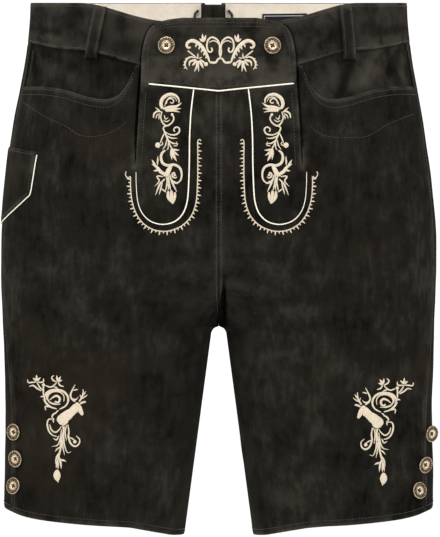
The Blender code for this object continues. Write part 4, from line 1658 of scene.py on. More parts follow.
def knifePiping():
    # Down the front edge, along the foot and up the back edge
    first, last = knife["outline"][0], knife["outline"][-1]
    up, along, beside = piping["edgeSteps"], piping["footSteps"], piping["beside"]
    outline = [(first[0], mix(first[1] - knife["pipingFrom"], first[2], k / up)) for k in range(up)]
    outline += [(mix(knife["front"], knife["back"], k / along), None) for k in range(along + 1)]
    outline += [(last[0], mix(last[2], last[1] - knife["pipingFrom"], k / up)) for k in range(1, up + 1)]
    points = []
    for column, height in outline:
        atFoot = height is None
        if atFoot:
            height = straightValue(knife["outline"], column, 2) - beside
        angle = knifeAngle(column, height)
        if not atFoot:
            angle = turned(angle, height, -beside if column == first[0] else beside)
        points.append(surfaceAt(-1, angle, height, cordLift(piping["radius"]))[0])
    line = smoothRoute(points[::2] + points[-1:], 1.2 * mm)
    radius, node = piping["radius"] * piping["pocketShare"], "piping_knife_pocket"
    tubePiece(f"cord_{node}", [blunt(line)], radius, "piping", [node])


flapPiping()
knifePiping()
print("piping done")


# Embroidery is drawn as strokes on the cloth: a path, its widest width, and the shares of that at both ends
floss = {
    # height of a thin stroke, and how much more for each millimetre of half its width, up to a limit
    "rise": 0.34,
    "riseMore": (0.16, 1.8),
    "under": 0.2,
    "sides": 8,
    "step": 0.9,
    # the rounded ends: their least length, their most as a share of the stroke, and two places in them
    "capLeast": 0.35,
    "capMost": 0.45,
    "capPlaces": (0.14, 0.5),
}


def stroke(path, width, start, finish=0.3, belly=0.45):
    return {"path": path, "width": width, "start": start, "finish": finish, "belly": belly}


def leaf(base, toward, length, width, bend=0.0):
    # Toward is the direction of its midline in degrees, and bend turns its tip aside
    angle = math.radians(toward)
    path = []
    for k in range(4):
        share = k / 3
        turn = angle + math.radians(bend) * share
        path.append((base[0] + length * share * math.cos(turn), base[1] + length * share * math.sin(turn)))
    return stroke(path, width, 0.35, 0.05, 0.42)


def berry(centre, radius):
    x, height = centre
    return stroke([(x - radius, height), (x, height), (x + radius, height)], 2 * radius, 0.85, 0.85, 0.5)


def marksOf(rows):
    # Strokes: points, width, how full they start and end, where they are widest. Leaves: base, direction,
    # length, width and bend. Berries: centre and radius.
    made = []
    for place, *rest in rows:
        kind = stroke if isinstance(place[0], tuple) else leaf if len(rest) > 1 else berry
        made.append(kind(place, *rest))
    return made


def addStroke(mesh, alongLayer, mark, ground):
    line = flatRoute(mark["path"], 0.5)
    total = lineLength(line)
    half = mark["width"] / 2
    most, least, (tip, middle) = floss["capMost"] * total, floss["capLeast"], floss["capPlaces"]
    caps = [min(most, max(least, half * mark[end])) for end in ("start", "finish")]
    body = total - caps[0] - caps[1]
    count = max(2, round(body / floss["step"]))
    places = [0.0, tip * caps[0], middle * caps[0]]
    places += [caps[0] + body * k / count for k in range(count + 1)]
    places += [total - middle * caps[1], total - tip * caps[1], total]
    points = pointsAlong(line, places)
    last = len(points) - 1
    shares, sideways = [], []
    for k, at in enumerate(places):
        share, belly = at / total, mark["belly"]
        if share < belly:
            wide = mix(mark["start"], 1.0, math.sin(share / belly * math.pi / 2))
        else:
            wide = mix(1.0, mark["finish"], 1 - math.cos((share - belly) / (1 - belly) * math.pi / 2))
        cap = min(1.0, at / caps[0], (total - at) / caps[1])
        shares.append(wide * math.sqrt(max(0.0, 1 - (1 - cap) ** 2)))
        run = points[min(k + 1, last)] - points[max(k - 1, 0)]
        sideways.append(Vector((-run.y, run.x, 0.0)).normalized())
    more, limit = floss["riseMore"]
    rise = floss["rise"] + more * min(half, limit)
    grid = bmesh.ops.create_grid(mesh, x_segments=floss["sides"], y_segments=last, size=0.5)
    for vert in grid["verts"]:
        turn = (vert.co.x + 0.5) * math.tau
        k = round((vert.co.y + 0.5) * last)
        spot = points[k] + sideways[k] * (math.cos(turn) * half * shares[k])
        up = math.sin(turn) * math.sqrt(shares[k])
        vert.co = ground(spot.x, spot.y, up * (rise if up > 0 else floss["under"]))
        vert[alongLayer] = places[k]


def embroider(name, marks, ground):
    mesh = bmesh.new()
    alongLayer = mesh.verts.layers.float.new("along")
    for mark in marks:
        addStroke(mesh, alongLayer, mark, ground)
    bmesh.ops.remove_doubles(mesh, verts=mesh.verts, dist=0.002 * mm)
    bmesh.ops.recalc_face_normals(mesh, faces=mesh.faces)
    made = addPiece(name, meshOf(name, mesh, 70), "floss")
    print(f"{name}: {len(marks)} strokes, {len(made.data.polygons)} faces")


# One half of the scrolls on the flap band, drawn from its middle outwards
bandSprays = (
    ((
        (-0.2, -57.5), (0.8, -53.4), (0.6, -47.6), (2.2, -42.0), (6.8, -38.9), (10.9, -40.8),
        (12.4, -46.0), (11.6, -50.8), (9.3, -52.6), (7.4, -50.9), (8.3, -48.2)
    ), 1.7, 0.8, 0.9, 0.4),
    (((10.4, -43.7), (7.2, -42.1), (3.9, -42.8), (1.3, -45.6)), 1.1, 0.6, 0.5),
    (((-0.5, -58.0), (2.0, -59.0), (4.6, -62.2), (10.1, -62.0)), 2.0, 0.7, 0.9, 0.6),
    ((
        (9.9, -61.8), (11.7, -56.7), (15.0, -50.3), (19.6, -44.9), (25.0, -42.0), (29.5, -43.3),
        (30.9, -46.1), (29.5, -48.5), (27.1, -47.9)
    ), 3.4, 0.45, 0.5, 0.55),
    ((21.2, -44.9), -50.0, 3.8, 1.7, -12.0), ((18.5, -46.8), -59.0, 3.9, 1.8, -12.0),
    ((16.2, -49.5), -60.0, 3.9, 1.8, -12.0), ((14.2, -52.8), -58.0, 3.4, 1.7, -12.0),
    ((12.6, -56.1), -60.0, 2.8, 1.5, -12.0), ((15.5, -43.2), 77.0, 7.8, 2.4, 6.0),
    ((15.3, -43.0), 113.0, 6.9, 2.1, -6.0), ((15.7, -43.0), 33.0, 4.8, 2.0, 10.0),
    (((20.8, -58.7), (25.1, -55.1), (30.1, -51.1)), 1.2, 0.7, 1.0, 0.3),
    ((20.8, -58.7), 92.0, 5.5, 1.3), ((20.2, -58.5), 163.0, 3.9, 1.3),
    (((22.0, -60.4), (21.5, -65.1), (23.9, -70.9)), 2.0, 0.8, 0.25, 0.35),
    (((20.7, -60.5), (20.3, -65.8), (19.8, -70.6)), 1.8, 0.8, 0.25, 0.35),
    (((19.7, -60.4), (17.5, -63.5), (15.7, -67.6)), 2.6, 0.7, 0.2),
    (((18.8, -59.7), (16.0, -61.3), (14.5, -62.7)), 1.8, 0.7, 0.7),
    (((22.1, -59.7), (25.3, -60.4), (28.1, -61.8), (28.6, -65.6)), 2.1, 0.8, 0.3, 0.4),
    (((22.8, -60.8), (24.3, -63.5), (26.1, -65.1)), 1.9, 0.7, 0.2, 0.4),
    ((13.2, -63.7), 1.9),
    ((
        (23.1, -58.0), (26.6, -57.0), (30.4, -58.7), (32.4, -62.7), (32.1, -66.0), (30.2, -68.6)
    ), 1.8, 0.5, 0.4, 0.5),
    ((30.4, -58.9), -3.0, 2.1, 1.3, 20.0), ((31.9, -61.2), -29.0, 2.1, 1.3, 20.0),
    ((32.4, -63.7), -45.0, 2.3, 1.3, 20.0), ((31.9, -66.3), -57.0, 2.4, 1.2, 20.0),
)


# A climbing spray for the piped panels, outward from its own middle line
panelSprays = (
    ((
        (4.8, -105.1), (6.4, -100.4), (4.6, -95.1), (-0.9, -91.7), (-6.6, -92.5), (-10.0, -96.3),
        (-10.0, -99.9)
    ), 3.4, 0.75, 0.25, 0.3),
    (((3.1, -102.7), (1.4, -98.0), (-1.9, -94.4), (-6.2, -94.9), (-8.3, -98.2)), 1.1, 0.6, 0.5),
    ((
        (1.4, -100.6), (0.4, -96.8), (-3.0, -95.5), (-5.4, -97.8), (-3.7, -100.0), (-2.0, -98.7)
    ), 1.2, 0.6, 0.8),
    (((4.6, -105.0), (-1.5, -103.4), (-7.9, -102.7), (-12.8, -99.3)), 2.7, 0.6, 0.1, 0.5),
    (((2.9, -106.1), (-3.4, -105.5), (-12.2, -104.8)), 2.2, 0.6, 0.1, 0.5),
    (((2.1, -107.2), (-5.3, -106.8), (-11.3, -108.2)), 1.8, 0.6, 0.1, 0.5),
    ((
        (5.3, -107.6), (6.6, -112.7), (4.8, -118.0), (1.2, -120.6), (-3.0, -118.4), (-5.4, -114.6),
        (-4.5, -111.0), (-2.8, -109.5)
    ), 1.5, 0.6, 0.8),
    (((3.4, -110.8), (2.3, -114.6), (-0.3, -112.9)), 1.1, 0.6, 0.5),
    (((4.2, -115.7), (1.2, -116.8), (-1.9, -115.1)), 1.1, 0.5, 0.5),
    ((-3.9, -110.4), 1.3),
    (((5.9, -108.0), (9.5, -107.2), (12.7, -109.5), (13.4, -113.4)), 1.8, 0.5, 0.5),
    (((7.0, -109.3), (10.0, -110.8), (11.2, -114.2)), 1.2, 0.5),
    ((6.8, -107.4), 38.0, 6.5, 1.3), ((7.8, -110.4), -82.0, 4.8, 1.3),
    ((
        (1.2, -120.6), (4.2, -122.3), (3.1, -126.1), (0.8, -131.6), (-1.7, -138.2), (-4.5, -143.1)
    ), 1.7, 0.6, 0.6),
    ((
        (2.7, -126.1), (-1.7, -128.7), (-6.8, -128.9), (-10.0, -126.9), (-10.5, -123.3), (-7.7, -121.9),
        (-5.3, -124.0), (-6.4, -126.3)
    ), 1.5, 0.5, 0.8),
    (((1.4, -129.7), (-3.4, -132.0), (-9.2, -132.0)), 1.4, 0.6, 0.1),
    (((0.2, -133.5), (-4.3, -136.7), (-9.4, -136.9)), 1.5, 0.6, 0.1),
    (((-7.7, -135.3), (-8.5, -138.4), (-4.7, -139.3)), 1.1, 0.5),
    (((3.1, -127.2), (5.5, -132.3), (7.0, -136.7)), 1.3, 0.6, 0.7),
    ((9.3, -138.4), 2.5),
    (((7.0, -139.1), (4.9, -137.4), (5.3, -135.3)), 1.1, 0.6, 0.6),
    (((1.2, -133.5), (2.1, -138.2), (4.9, -142.5)), 1.2, 0.6, 0.5),
    (((-0.3, -136.5), (-0.2, -141.0), (1.4, -143.1)), 1.1, 0.6, 0.5),
    ((-2.2, -142.1), -166.0, 8.6, 2.1, -8.0), ((-2.6, -142.7), -138.0, 9.2, 2.4, -6.0),
    ((-3.0, -143.3), -112.0, 11.3, 2.6, -4.0), ((-2.4, -142.9), -97.0, 9.3, 2.1),
    ((
        (2.5, -143.1), (5.5, -145.7), (6.6, -150.1), (4.9, -155.0), (0.2, -157.1), (-5.4, -156.5),
        (-10.4, -159.1), (-12.4, -164.8), (-11.3, -170.7), (-7.9, -173.1), (-4.9, -171.4)
    ), 2.6, 0.7, 0.35, 0.3),
    (((-8.1, -167.4), (-6.6, -168.6), (-3.9, -167.4), (-3.9, -164.6), (-6.4, -163.5)), 1.6, 0.4, 1.0),
    ((-6.0, -165.9), 1.3),
    (((-3.0, -157.1), (-0.7, -161.0), (1.4, -164.8), (4.9, -166.1)), 4.4, 0.5, 0.6, 0.5),
    (((1.7, -165.9), (7.0, -162.9), (10.4, -158.6), (14.0, -156.3)), 3.2, 0.7, 0.45, 0.4),
    ((10.8, -158.2), 50.0, 8.0, 2.0, 8.0), ((10.0, -157.2), 94.0, 9.2, 1.6),
    ((8.7, -161.0), -22.0, 5.1, 1.9, 10.0), ((11.7, -157.1), 20.0, 4.0, 1.4),
    (((4.6, -167.3), (10.4, -167.1), (8.3, -171.6), (12.5, -176.3)), 1.5, 0.6, 0.2),
    (((2.9, -169.3), (7.4, -173.9), (9.5, -178.4), (11.9, -184.6)), 1.7, 0.6, 0.2),
    (((5.5, -172.7), (7.0, -178.8), (8.5, -184.2)), 1.4, 0.6, 0.2),
    (((6.5, -178.4), (4.0, -180.3), (1.7, -182.0)), 1.3, 0.6),
    (((2.1, -165.9), (1.0, -172.3), (2.7, -181.2)), 1.5, 0.7, 0.4),
    (((0.2, -165.9), (-0.7, -173.3), (-2.4, -180.3)), 1.8, 0.7, 0.4),
    (((-1.1, -165.2), (-3.4, -172.2), (-7.9, -181.8)), 1.8, 0.7, 0.2),
    (((-2.8, -169.9), (-5.8, -173.1), (-9.4, -174.0)), 1.4, 0.6, 0.2),
    (((1.4, -173.1), (-0.3, -176.9), (0.4, -180.7)), 1.1, 0.5),
    (((0.0, -180.7), (0.0, -186.3), (-3.9, -192.5)), 2.9, 0.6, 0.1, 0.4),
    (((-3.0, -180.1), (-3.0, -186.7), (-4.2, -192.7)), 3.2, 0.6, 0.1, 0.4),
    (((-6.2, -181.6), (-5.8, -187.1), (-4.5, -192.5)), 2.6, 0.6, 0.1, 0.4),
)


# A stag among scrolls and leaves, outward from its own middle line
stagSprays = (
    ((
        (8.4, -381.3), (13.1, -376.5), (13.6, -371.1), (10.3, -367.2), (4.2, -365.5), (-2.9, -366.4),
        (-7.5, -370.3), (-8.6, -375.7), (-6.0, -380.5), (-0.4, -383.6)
    ), 2.2, 0.5, 0.5, 0.5),
    ((
        (-4.4, -376.5), (-4.7, -371.8), (-1.9, -368.1), (3.5, -366.9), (8.7, -368.9), (11.1, -373.2),
        (8.9, -377.3), (4.2, -379.1), (-1.3, -378.8)
    ), 1.5, 0.5, 0.5),
    (((11.5, -375.3), (11.2, -369.7), (6.9, -366.6)), 2.3, 0.4, 0.4, 0.5),
    ((
        (9.1, -375.3), (5.8, -372.5), (2.1, -371.1), (-0.6, -373.4), (0.2, -376.7), (2.5, -377.3),
        (3.8, -375.9)
    ), 2.2, 0.3, 0.8, 0.5),
    (((10.6, -375.7), (7.4, -377.9), (2.7, -378.5)), 1.5, 0.5, 0.4),
    (((13.6, -372.6), (16.2, -371.8), (18.0, -372.6)), 1.6, 0.6, 0.15),
    (((15.3, -374.2), (12.0, -378.8), (7.4, -381.8), (2.2, -383.2)), 1.7, 0.3, 0.6),
    (((6.9, -382.1), (11.1, -381.0), (13.2, -381.5), (12.8, -384.9)), 1.6, 0.5, 0.5),
    (((14.9, -371.2), (15.1, -365.6), (14.9, -361.3)), 1.7, 0.5, 0.8),
    ((14.9, -361.0), 1.6),
    (((15.7, -366.1), (19.0, -362.7), (21.3, -358.8)), 1.5, 0.7, 0.6),
    (((17.1, -366.6), (21.3, -364.3), (25.0, -361.8), (28.9, -362.7)), 1.7, 0.7),
    ((21.5, -357.6), 90.0, 6.2, 2.2), ((21.8, -357.6), 50.0, 4.5, 2.0, -10.0),
    ((21.1, -357.6), 125.0, 5.1, 2.0, 10.0),
    (((21.5, -358.4), (25.8, -358.8), (29.5, -359.1), (30.2, -356.2)), 1.5, 0.6, 0.6),
    (((21.1, -358.4), (17.4, -358.7), (14.9, -357.9), (15.1, -355.0)), 1.5, 0.6, 0.6),
    (((13.2, -361.6), (8.1, -363.0), (4.2, -360.7), (2.2, -358.5)), 1.5, 0.6, 0.6),
    ((1.5, -357.6), 83.0, 5.9, 2.1), ((1.3, -357.6), 119.0, 6.0, 2.1, 4.0),
    ((1.1, -357.7), 161.0, 4.6, 1.9),
    (((1.9, -358.4), (5.6, -356.5), (7.0, -354.0), (4.9, -352.0)), 1.5, 0.6, 0.6),
    (((1.0, -358.2), (-0.9, -361.2), (-4.6, -362.4)), 1.6, 0.6),
    (((5.8, -362.4), (3.0, -363.2), (0.7, -364.9)), 1.3, 0.5, 0.5),
    (((2.2, -393.9), (-2.7, -392.6), (-8.1, -388.9), (-12.5, -384.9)), 9.6, 0.74, 0.8, 0.42),
    (((-8.1, -389.4), (-13.0, -384.7), (-17.1, -378.8)), 7.6, 0.85, 0.62, 0.4),
    (((0.4, -396.2), (-4.3, -397.0), (-8.5, -394.5)), 3.2, 0.6, 0.6, 0.5),
    (((-15.6, -377.4), (-18.5, -381.6), (-22.1, -389.2)), 4.9, 0.8, 0.46, 0.4),
    (((-14.4, -385.8), (-17.6, -384.2)), 4.0, 0.7, 0.7, 0.5),
    (((-19.5, -378.5), (-22.4, -377.0), (-25.4, -376.3)), 2.0, 0.6, 0.5, 0.6),
    ((
        (-15.3, -376.5), (-11.9, -373.6), (-10.8, -370.3), (-12.5, -365.6), (-15.3, -360.4)
    ), 1.8, 0.9, 0.3, 0.35),
    ((-13.1, -366.0), 165.0, 5.3, 1.4),
    (((-13.1, -373.6), (-15.7, -374.5), (-18.1, -372.0)), 1.3, 0.7, 0.2),
    (((-18.8, -376.5), (-21.5, -372.3), (-22.6, -368.0), (-22.6, -364.4)), 1.7, 0.9, 0.3, 0.35),
    ((-22.1, -371.2), 125.0, 6.0, 1.3), ((-21.6, -373.7), 144.0, 6.8, 1.3),
    ((-21.0, -373.1), 67.0, 3.9, 1.2),
    (((1.8, -386.4), (5.0, -388.1), (6.9, -390.6), (5.5, -392.6)), 1.7, 0.5, 0.5),
    ((3.0, -386.3), 147.0, 3.8, 1.3), (((5.3, -392.0), (5.6, -396.5)), 1.4, 0.6, 0.2),
    ((
        (6.1, -393.2), (9.7, -393.1), (11.4, -397.1), (10.1, -403.6), (6.7, -407.8), (2.2, -409.2)
    ), 1.7, 0.5, 0.5),
    (((9.1, -397.9), (7.5, -402.8), (3.8, -405.3), (0.2, -403.0), (-2.3, -399.4)), 1.5, 0.5, 0.5),
    (((0.4, -408.3), (2.5, -412.3), (5.8, -410.9)), 1.5, 0.5),
    (((-3.5, -398.4), (-4.0, -404.4), (-2.1, -412.1), (-0.4, -420.2)), 1.7, 0.7, 0.5),
    (((-2.3, -402.5), (-0.9, -411.8), (1.8, -417.3), (7.4, -418.7)), 1.5, 0.5, 0.15),
    (((-0.4, -419.1), (2.2, -421.1), (4.2, -423.5)), 1.4, 0.6, 0.15),
    (((-5.2, -398.7), (-4.3, -405.9), (-4.7, -416.0), (-7.4, -423.9), (-11.1, -423.3)), 1.5, 0.5),
    (((-3.2, -411.4), (-3.3, -418.3), (-5.0, -426.7)), 1.4, 0.6, 0.2),
    (((-7.4, -397.9), (-5.7, -404.4), (-6.8, -413.1)), 1.4, 0.6, 0.4),
    ((
        (-8.3, -397.9), (-9.2, -404.4), (-8.8, -409.8), (-11.1, -416.0), (-15.1, -418.2), (-18.7, -415.6),
        (-19.0, -411.5), (-15.9, -408.4)
    ), 1.8, 0.6, 0.4),
    (((-9.1, -409.7), (-12.5, -411.1), (-15.4, -413.4)), 1.3, 0.5, 0.6),
    ((-14.7, -413.9), 1.7),
    (((-2.3, -412.1), (-1.3, -419.9), (0.2, -426.1), (1.6, -432.9)), 1.8, 0.6, 0.5),
    ((0.1, -424.2), -54.0, 11.7, 1.9, -18.0), ((0.7, -429.2), -70.0, 10.4, 2.1, -6.0),
    ((0.1, -428.4), -105.0, 11.6, 2.1, 6.0), ((-0.4, -430.8), -175.0, 6.5, 1.9, 12.0),
    ((1.1, -433.1), -88.0, 7.1, 1.6),
    (((2.2, -440.2), (2.4, -445.9), (1.8, -451.4)), 7.0, 0.3, 0.2, 0.5),
    (((1.9, -450.3), (1.1, -452.3)), 1.3, 0.8, 0.6),
)


def shifted(marks, x, height, outward):
    # The marks at their place; outward is -1 for the half that mirrors them
    return [
        {**mark, "path": [(x + outward * along, up + height) for along, up in mark["path"]]}
        for mark in marks
    ]


picots = {
    # x, height of the scalloped line outside the wearer's left panel
    "route": (
        (15.4, -134.8), (16.4, -133.3), (18.0, -133.8), (18.7, -136.4), (18.7, -141.0), (18.7, -155.0),
        (18.9, -170.5), (20.3, -190.2), (25.0, -203.2), (33.6, -212.0), (44.0, -216.7), (53.6, -217.9),
        (64.0, -216.0), (73.8, -210.2), (81.0, -200.4), (84.9, -188.6), (86.2, -176.0), (86.3, -167.2),
        (88.2, -168.4), (90.6, -167.2), (91.4, -164.4), (90.4, -162.4),
    ),
    # x of the inner and the outer line: as drawn above, and on each side
    "arms": {0: (18.7, 86.3), -1: (19.3, 81.6), 1: (23.2, 86.8)},
    "line": 1.05,
    "pitch": 3.4,
    # length and width of the long scallops and of the short ones between them
    "points": ((3.8, 1.4), (2.2, 1.25)),
    "slant": 0.4,
    "skip": (6.5, 12.5),
    "panelCentre": (53.0, -175.0, 0.0),
}


def picotMarks(side):
    route = spread(picots["route"], picots["arms"][0], picots["arms"][side])
    marks = [stroke(route, picots["line"], 0.9, 0.9, 0.5)]
    line = flatRoute(route, 0.8)
    total = lineLength(line)
    first, last = picots["skip"][0], total - picots["skip"][1]
    count = 2 * round((last - first) / picots["pitch"] / 2)
    for k in range(count + 1):
        at = mix(first, last, k / count)
        here, there = pointsAlong(line, [at, at + 0.6])
        run = (there - here).normalized()
        outward = Vector((run.y, -run.x, 0.0))
        if outward.dot(here - Vector(picots["panelCentre"])) < 0:
            outward.negate()
        length, width = picots["points"][k % 2]
        tip = here + outward * length + run * picots["slant"]
        marks.append(stroke([(here.x, here.y), (tip.x, tip.y)], width, 1.0, 0.4, 0.2))
    return marks


sprayPlaces = {
    # x and drop of each spray's middle line, on the wearer's left and right
    "band": {1: (1.5, 0.0), -1: (1.5, 0.0)},
    "panel": {1: (52.6, 0.0), -1: (-46.6, 0.0)},
    "leg": {1: (152.0, -2.9), -1: (-149.0, 0.0)},
}


def makeEmbroidery():
    def onFlap(x, height, lift):
        return frontAt(x, height, flapLift(height) + lift)[0]

    def onLeg(x, height, lift):
        return frontAt(x, height, lift)[0]

    band = marksOf(bandSprays)
    halves = [shifted(band, *sprayPlaces["band"][side], side) for side in (1, -1)]
    embroider("embroidery_flap_band", halves[0] + halves[1], onFlap)
    for name, rows, ground in (("panel", panelSprays, onFlap), ("leg", stagSprays, onLeg)):
        for side in (1, -1):
            placed = shifted(marksOf(rows), *sprayPlaces[name][side], side)
            embroider(f"embroidery_{name}_{halfName(side)}", placed, ground)
    for side in (1, -1):
        embroider(f"embroidery_scallop_{halfName(side)}", shifted(picotMarks(side), 0.0, 0.0, side), onFlap)


makeEmbroidery()
print("embroidery done")


def backAt(across, height, lift):
    # Place measured across the back from the middle of the lacing notch
    x = across + notch["centre"]
    return surfaceAt(1 if x >= 0 else -1, angleAt(abs(x), height, atFront=False), height, lift)


gusset = {
    # distance across, depth inside: half of the folded leather
    "half": (
        (10.7, 2.9), (8.6, 2.9), (8.0, 4.4), (9.6, 5.8), (11.6, 7.6), (11.2, 10.4), (8.2, 12.2),
        (4.6, 11.6), (2.4, 8.8), (0.0, 5.4),
    ),
    "hide": 1.4,
    "top": 5.2,
    "foot": -46.0,
    "footScale": 0.35,
    # how uneven, and the scale of that across, inwards and up
    "uneven": 1.5,
    "scale": (2.6, 5.0, 14.0),
}


def makeGusset():
    half = list(gusset["half"])
    outermost = half[0][1]
    path = flatRoute(half + [(-x, inset) for x, inset in half[-2::-1]], 0.9)
    columns = list(range(len(path)))

    def spot(k, v):
        fullness = mix(gusset["footScale"], 1.0, v)
        height = mix(gusset["foot"], gusset["top"], v)
        place = Vector(at / size for at, size in zip((path[k].x, path[k].y, height), gusset["scale"]))
        uneven = gusset["uneven"] * noise.noise(place) * v
        inset = outermost + (path[k].y - outermost + uneven) * fullness
        place = backAt(path[k].x * fullness, height, -inset)[0]
        return place, Vector((path[k].x, -path[k].y, 0.0))

    rows = evenTicks(0.0, 1.0, 0.04)
    patches, hide = [(columns, rows, spot)], gusset["hide"]
    made = leatherWall(
        "suede_lacing_gusset", patches, "gusset", "suede", ["lacing_gusset"], hide, 0.0, 1.0, 0.5, 0.3
    )
    made.modifiers["hide"].offset = 0.0


lace = {
    "radius": 1.2,
    # across, height, lift: the right half from the knot out through the lower eyelet, up inside the
    # wall and back out of the upper one
    "half": (
        (4.7, -13.5, 2.2), (9.6, -13.8, 2.2), (13.4, -13.5, 1.6), (15.2, -13.5, -0.6), (15.2, -13.5, -2.6),
        (15.9, -13.1, -4.9), (18.2, -9.85, -5.5), (18.2, -4.65, -5.5), (15.9, -1.4, -4.9),
        (15.2, -1.0, -2.6), (15.2, -1.0, -0.6), (13.4, -1.0, 1.6), (9.0, -1.6, 2.0), (3.0, -2.0, 2.0),
    ),
    "uneven": (0.05, 0.9),
    "knotHeight": -13.5,
    "knotLift": 2.6,
    # length of both ends, and across, share of that length and lift along them
    "ends": {1: 20.0, -1: 24.0},
    "endRoute": ((3.0, 0.3, 2.9), (5.6, 0.7, 2.3), (6.5, 1.0, 1.9)),
    "endTip": 0.75,
    # the tied knot: points round it, mean reach and how much that swings, its width, height and depth
    "knotSteps": 72,
    "knotReach": (1.75, 0.65),
    "knotShape": (1.15, 0.85, 0.85),
    "knotShare": 0.95,
    "tiedShare": 0.98,
}


def makeLace():
    low, lift, half = lace["knotHeight"], lace["knotLift"], lace["half"]
    route = list(half) + [(-across, height, out) for across, height, out in reversed(half)]
    line = smoothRoute([backAt(*spot)[0] for spot in route], 0.7 * mm)
    swell, pace = lace["uneven"]
    strand = [(point, 1.0 + swell * math.sin(k * pace)) for k, point in enumerate(line)]
    tubePiece("cord_lace", [strand], lace["radius"], "lace", ["lace"])
    knot = []
    (mean, swing), (wide, tall, deep) = lace["knotReach"], lace["knotShape"]
    for k in range(lace["knotSteps"] + 1):
        turn = math.tau * k / lace["knotSteps"]
        reach = mean + swing * math.cos(3 * turn)
        place = (reach * math.cos(2 * turn) * wide, low + reach * math.sin(2 * turn) * tall)
        knot.append((backAt(*place, lift + deep * math.sin(3 * turn))[0], lace["knotShare"]))
    strands = [knot]
    for side in (1, -1):
        length = lace["ends"][side]
        line = [(side * 1.2, low - 0.8, lift)]
        line += [(side * across, low - share * length, out) for across, share, out in lace["endRoute"]]
        line = smoothRoute([backAt(*spot)[0] for spot in line], 0.8 * mm)
        strands.append([(point, 1.0 if point is not line[-1] else lace["endTip"]) for point in line])
    radius = lace["radius"] * lace["tiedShare"]
    tubePiece("cord_lace_knot", strands, radius, "lace", ["lace_knot"])


label = {
    "angles": (151.0, 166.2),
    "heights": (-31.0, -4.0),
    "lift": -3.4,
    "cloth": 0.6,
    "edge": 1.9,
    "border": 0.8,
    "width": 48.0,
    "grid": 1.2,
}


def makeLabel():
    (first, last), (low, high) = label["angles"], label["heights"]

    def spot(angle, height):
        return surfaceAt(1, angle, height, label["lift"])

    def innerSpot(angle, height):
        return surfaceAt(1, angle, height, label["lift"] - label["cloth"] + 0.1)

    step = label["grid"]
    patches = [(evenTicks(first, last, step, degree), evenTicks(low, high, step), spot)]
    made = leatherWall("cloth_label", patches, "label", "label", ["label"], label["cloth"], 0.15, 1.0)
    perMm = (last - first) / label["width"]
    edge, wide = label["edge"], label["border"]
    left, right, foot, top = first + edge * perMm, last - edge * perMm, low + edge, high - edge
    innerLeft, innerRight = left + wide * perMm, right - wide * perMm
    upward = evenTicks(foot + wide, top - wide, step)
    across = evenTicks(innerLeft, innerRight, step, degree)
    across = [left, innerLeft] + across[1:-1] + [innerRight, right]
    patches = (
        (across, [foot, foot + wide], innerSpot),
        (across, [top - wide, top], innerSpot),
        ([left, innerLeft], upward, innerSpot),
        ([innerRight, right], upward, innerSpot),
    )
    leatherWall("label_border", patches, "labelEdge", "label", [], 0.25, 0.0, 1.0)


makeGusset()
makeLace()
makeLabel()
print("lacing and label done")


button = {
    # side, angle, height, hide they sit on, how far each leans forward on its thread, and its tilt up
    "rows": (
        ("button_flap_right", -1, 15.2, -46.3, 2.3, 0.0, 0.0),
        ("button_flap_left", 1, 15.6, -46.5, 2.3, 0.0, 0.0),
        ("button_hem_right_1", -1, 60.6, -406.0, 0.0, 18.0, 0.0),
        ("button_hem_right_2", -1, 58.2, -431.0, 0.0, 17.0, -0.07),
        ("button_hem_right_3", -1, 60.2, -457.0, 0.0, 19.0, 0.12),
        ("button_hem_left_1", 1, 72.0, -408.0, 0.0, 28.0, -0.1),
        ("button_hem_left_2", 1, 61.6, -436.5, 0.0, 20.0, -0.2),
        ("button_hem_left_3", 1, 54.5, -461.0, 0.0, 13.0, 0.1),
    ),
    "stem": 2.3,
    "steps": 108,
    "holes": 1.45,
    "holeRadius": 0.8,
    "holeDepth": 0.8,
    "dish": 3.0,
    "faceFrom": 2.9,
    # stamped rings: radius, half width, lobes round it, their height, how dark it is between them, and the
    # start and slope of that dark
    "rings": (
        (5.75, 1.0, 18, 0.2, 0.75, 0.15, 0.9),
        (7.35, 0.65, 36, 0.1, 0.55, 0.0, 1.0),
        (4.2, 0.4, 24, 0.0, 0.4, 0.0, 1.0),
    ),
    # one thread over the dish: distance from its middle, height and share of the radius
    "thread": ((-1.5, -0.5, 0.8), (-1.1, 0.1, 1.0), (0.0, 0.3, 1.1), (1.1, 0.1, 1.0), (1.5, -0.5, 0.8)),
    "threadRadius": 0.42,
    # radius, height, how dark the metal has gone there
    "profile": (
        (0.0, 3.0, 0.0), (0.4, 3.0, 0.0), (0.8, 3.0, 0.0), (1.2, 3.0, -0.1), (1.6, 3.0, -0.2),
        (2.0, 3.0, -0.25), (2.4, 3.02, -0.25), (2.8, 3.05, -0.2), (3.2, 3.12, -0.1), (3.55, 3.3, 0.25),
        (3.75, 3.55, 0.5), (3.95, 3.72, 0.2), (4.2, 3.78, 0.0), (4.45, 3.7, 0.2), (4.6, 3.55, 0.8),
        (4.8, 3.55, 0.9), (5.0, 3.66, 0.6), (5.3, 3.74, 0.4), (5.7, 3.78, 0.34), (6.1, 3.78, 0.34),
        (6.45, 3.7, 0.45), (6.65, 3.56, 0.8), (6.8, 3.56, 0.8), (6.95, 3.68, 0.3), (7.2, 3.74, 0.05),
        (7.5, 3.66, 0.05), (7.8, 3.42, 0.3), (7.98, 3.1, 0.6), (7.95, 2.8, 0.5), (7.5, 2.4, 0.8),
        (6.8, 2.1, 0.9), (4.5, 1.9, 1.0), (2.2, 1.8, 1.0), (1.8, 1.4, 1.0), (1.8, 0.3, 1.0),
        (0.0, 0.3, 1.0),
    ),
}


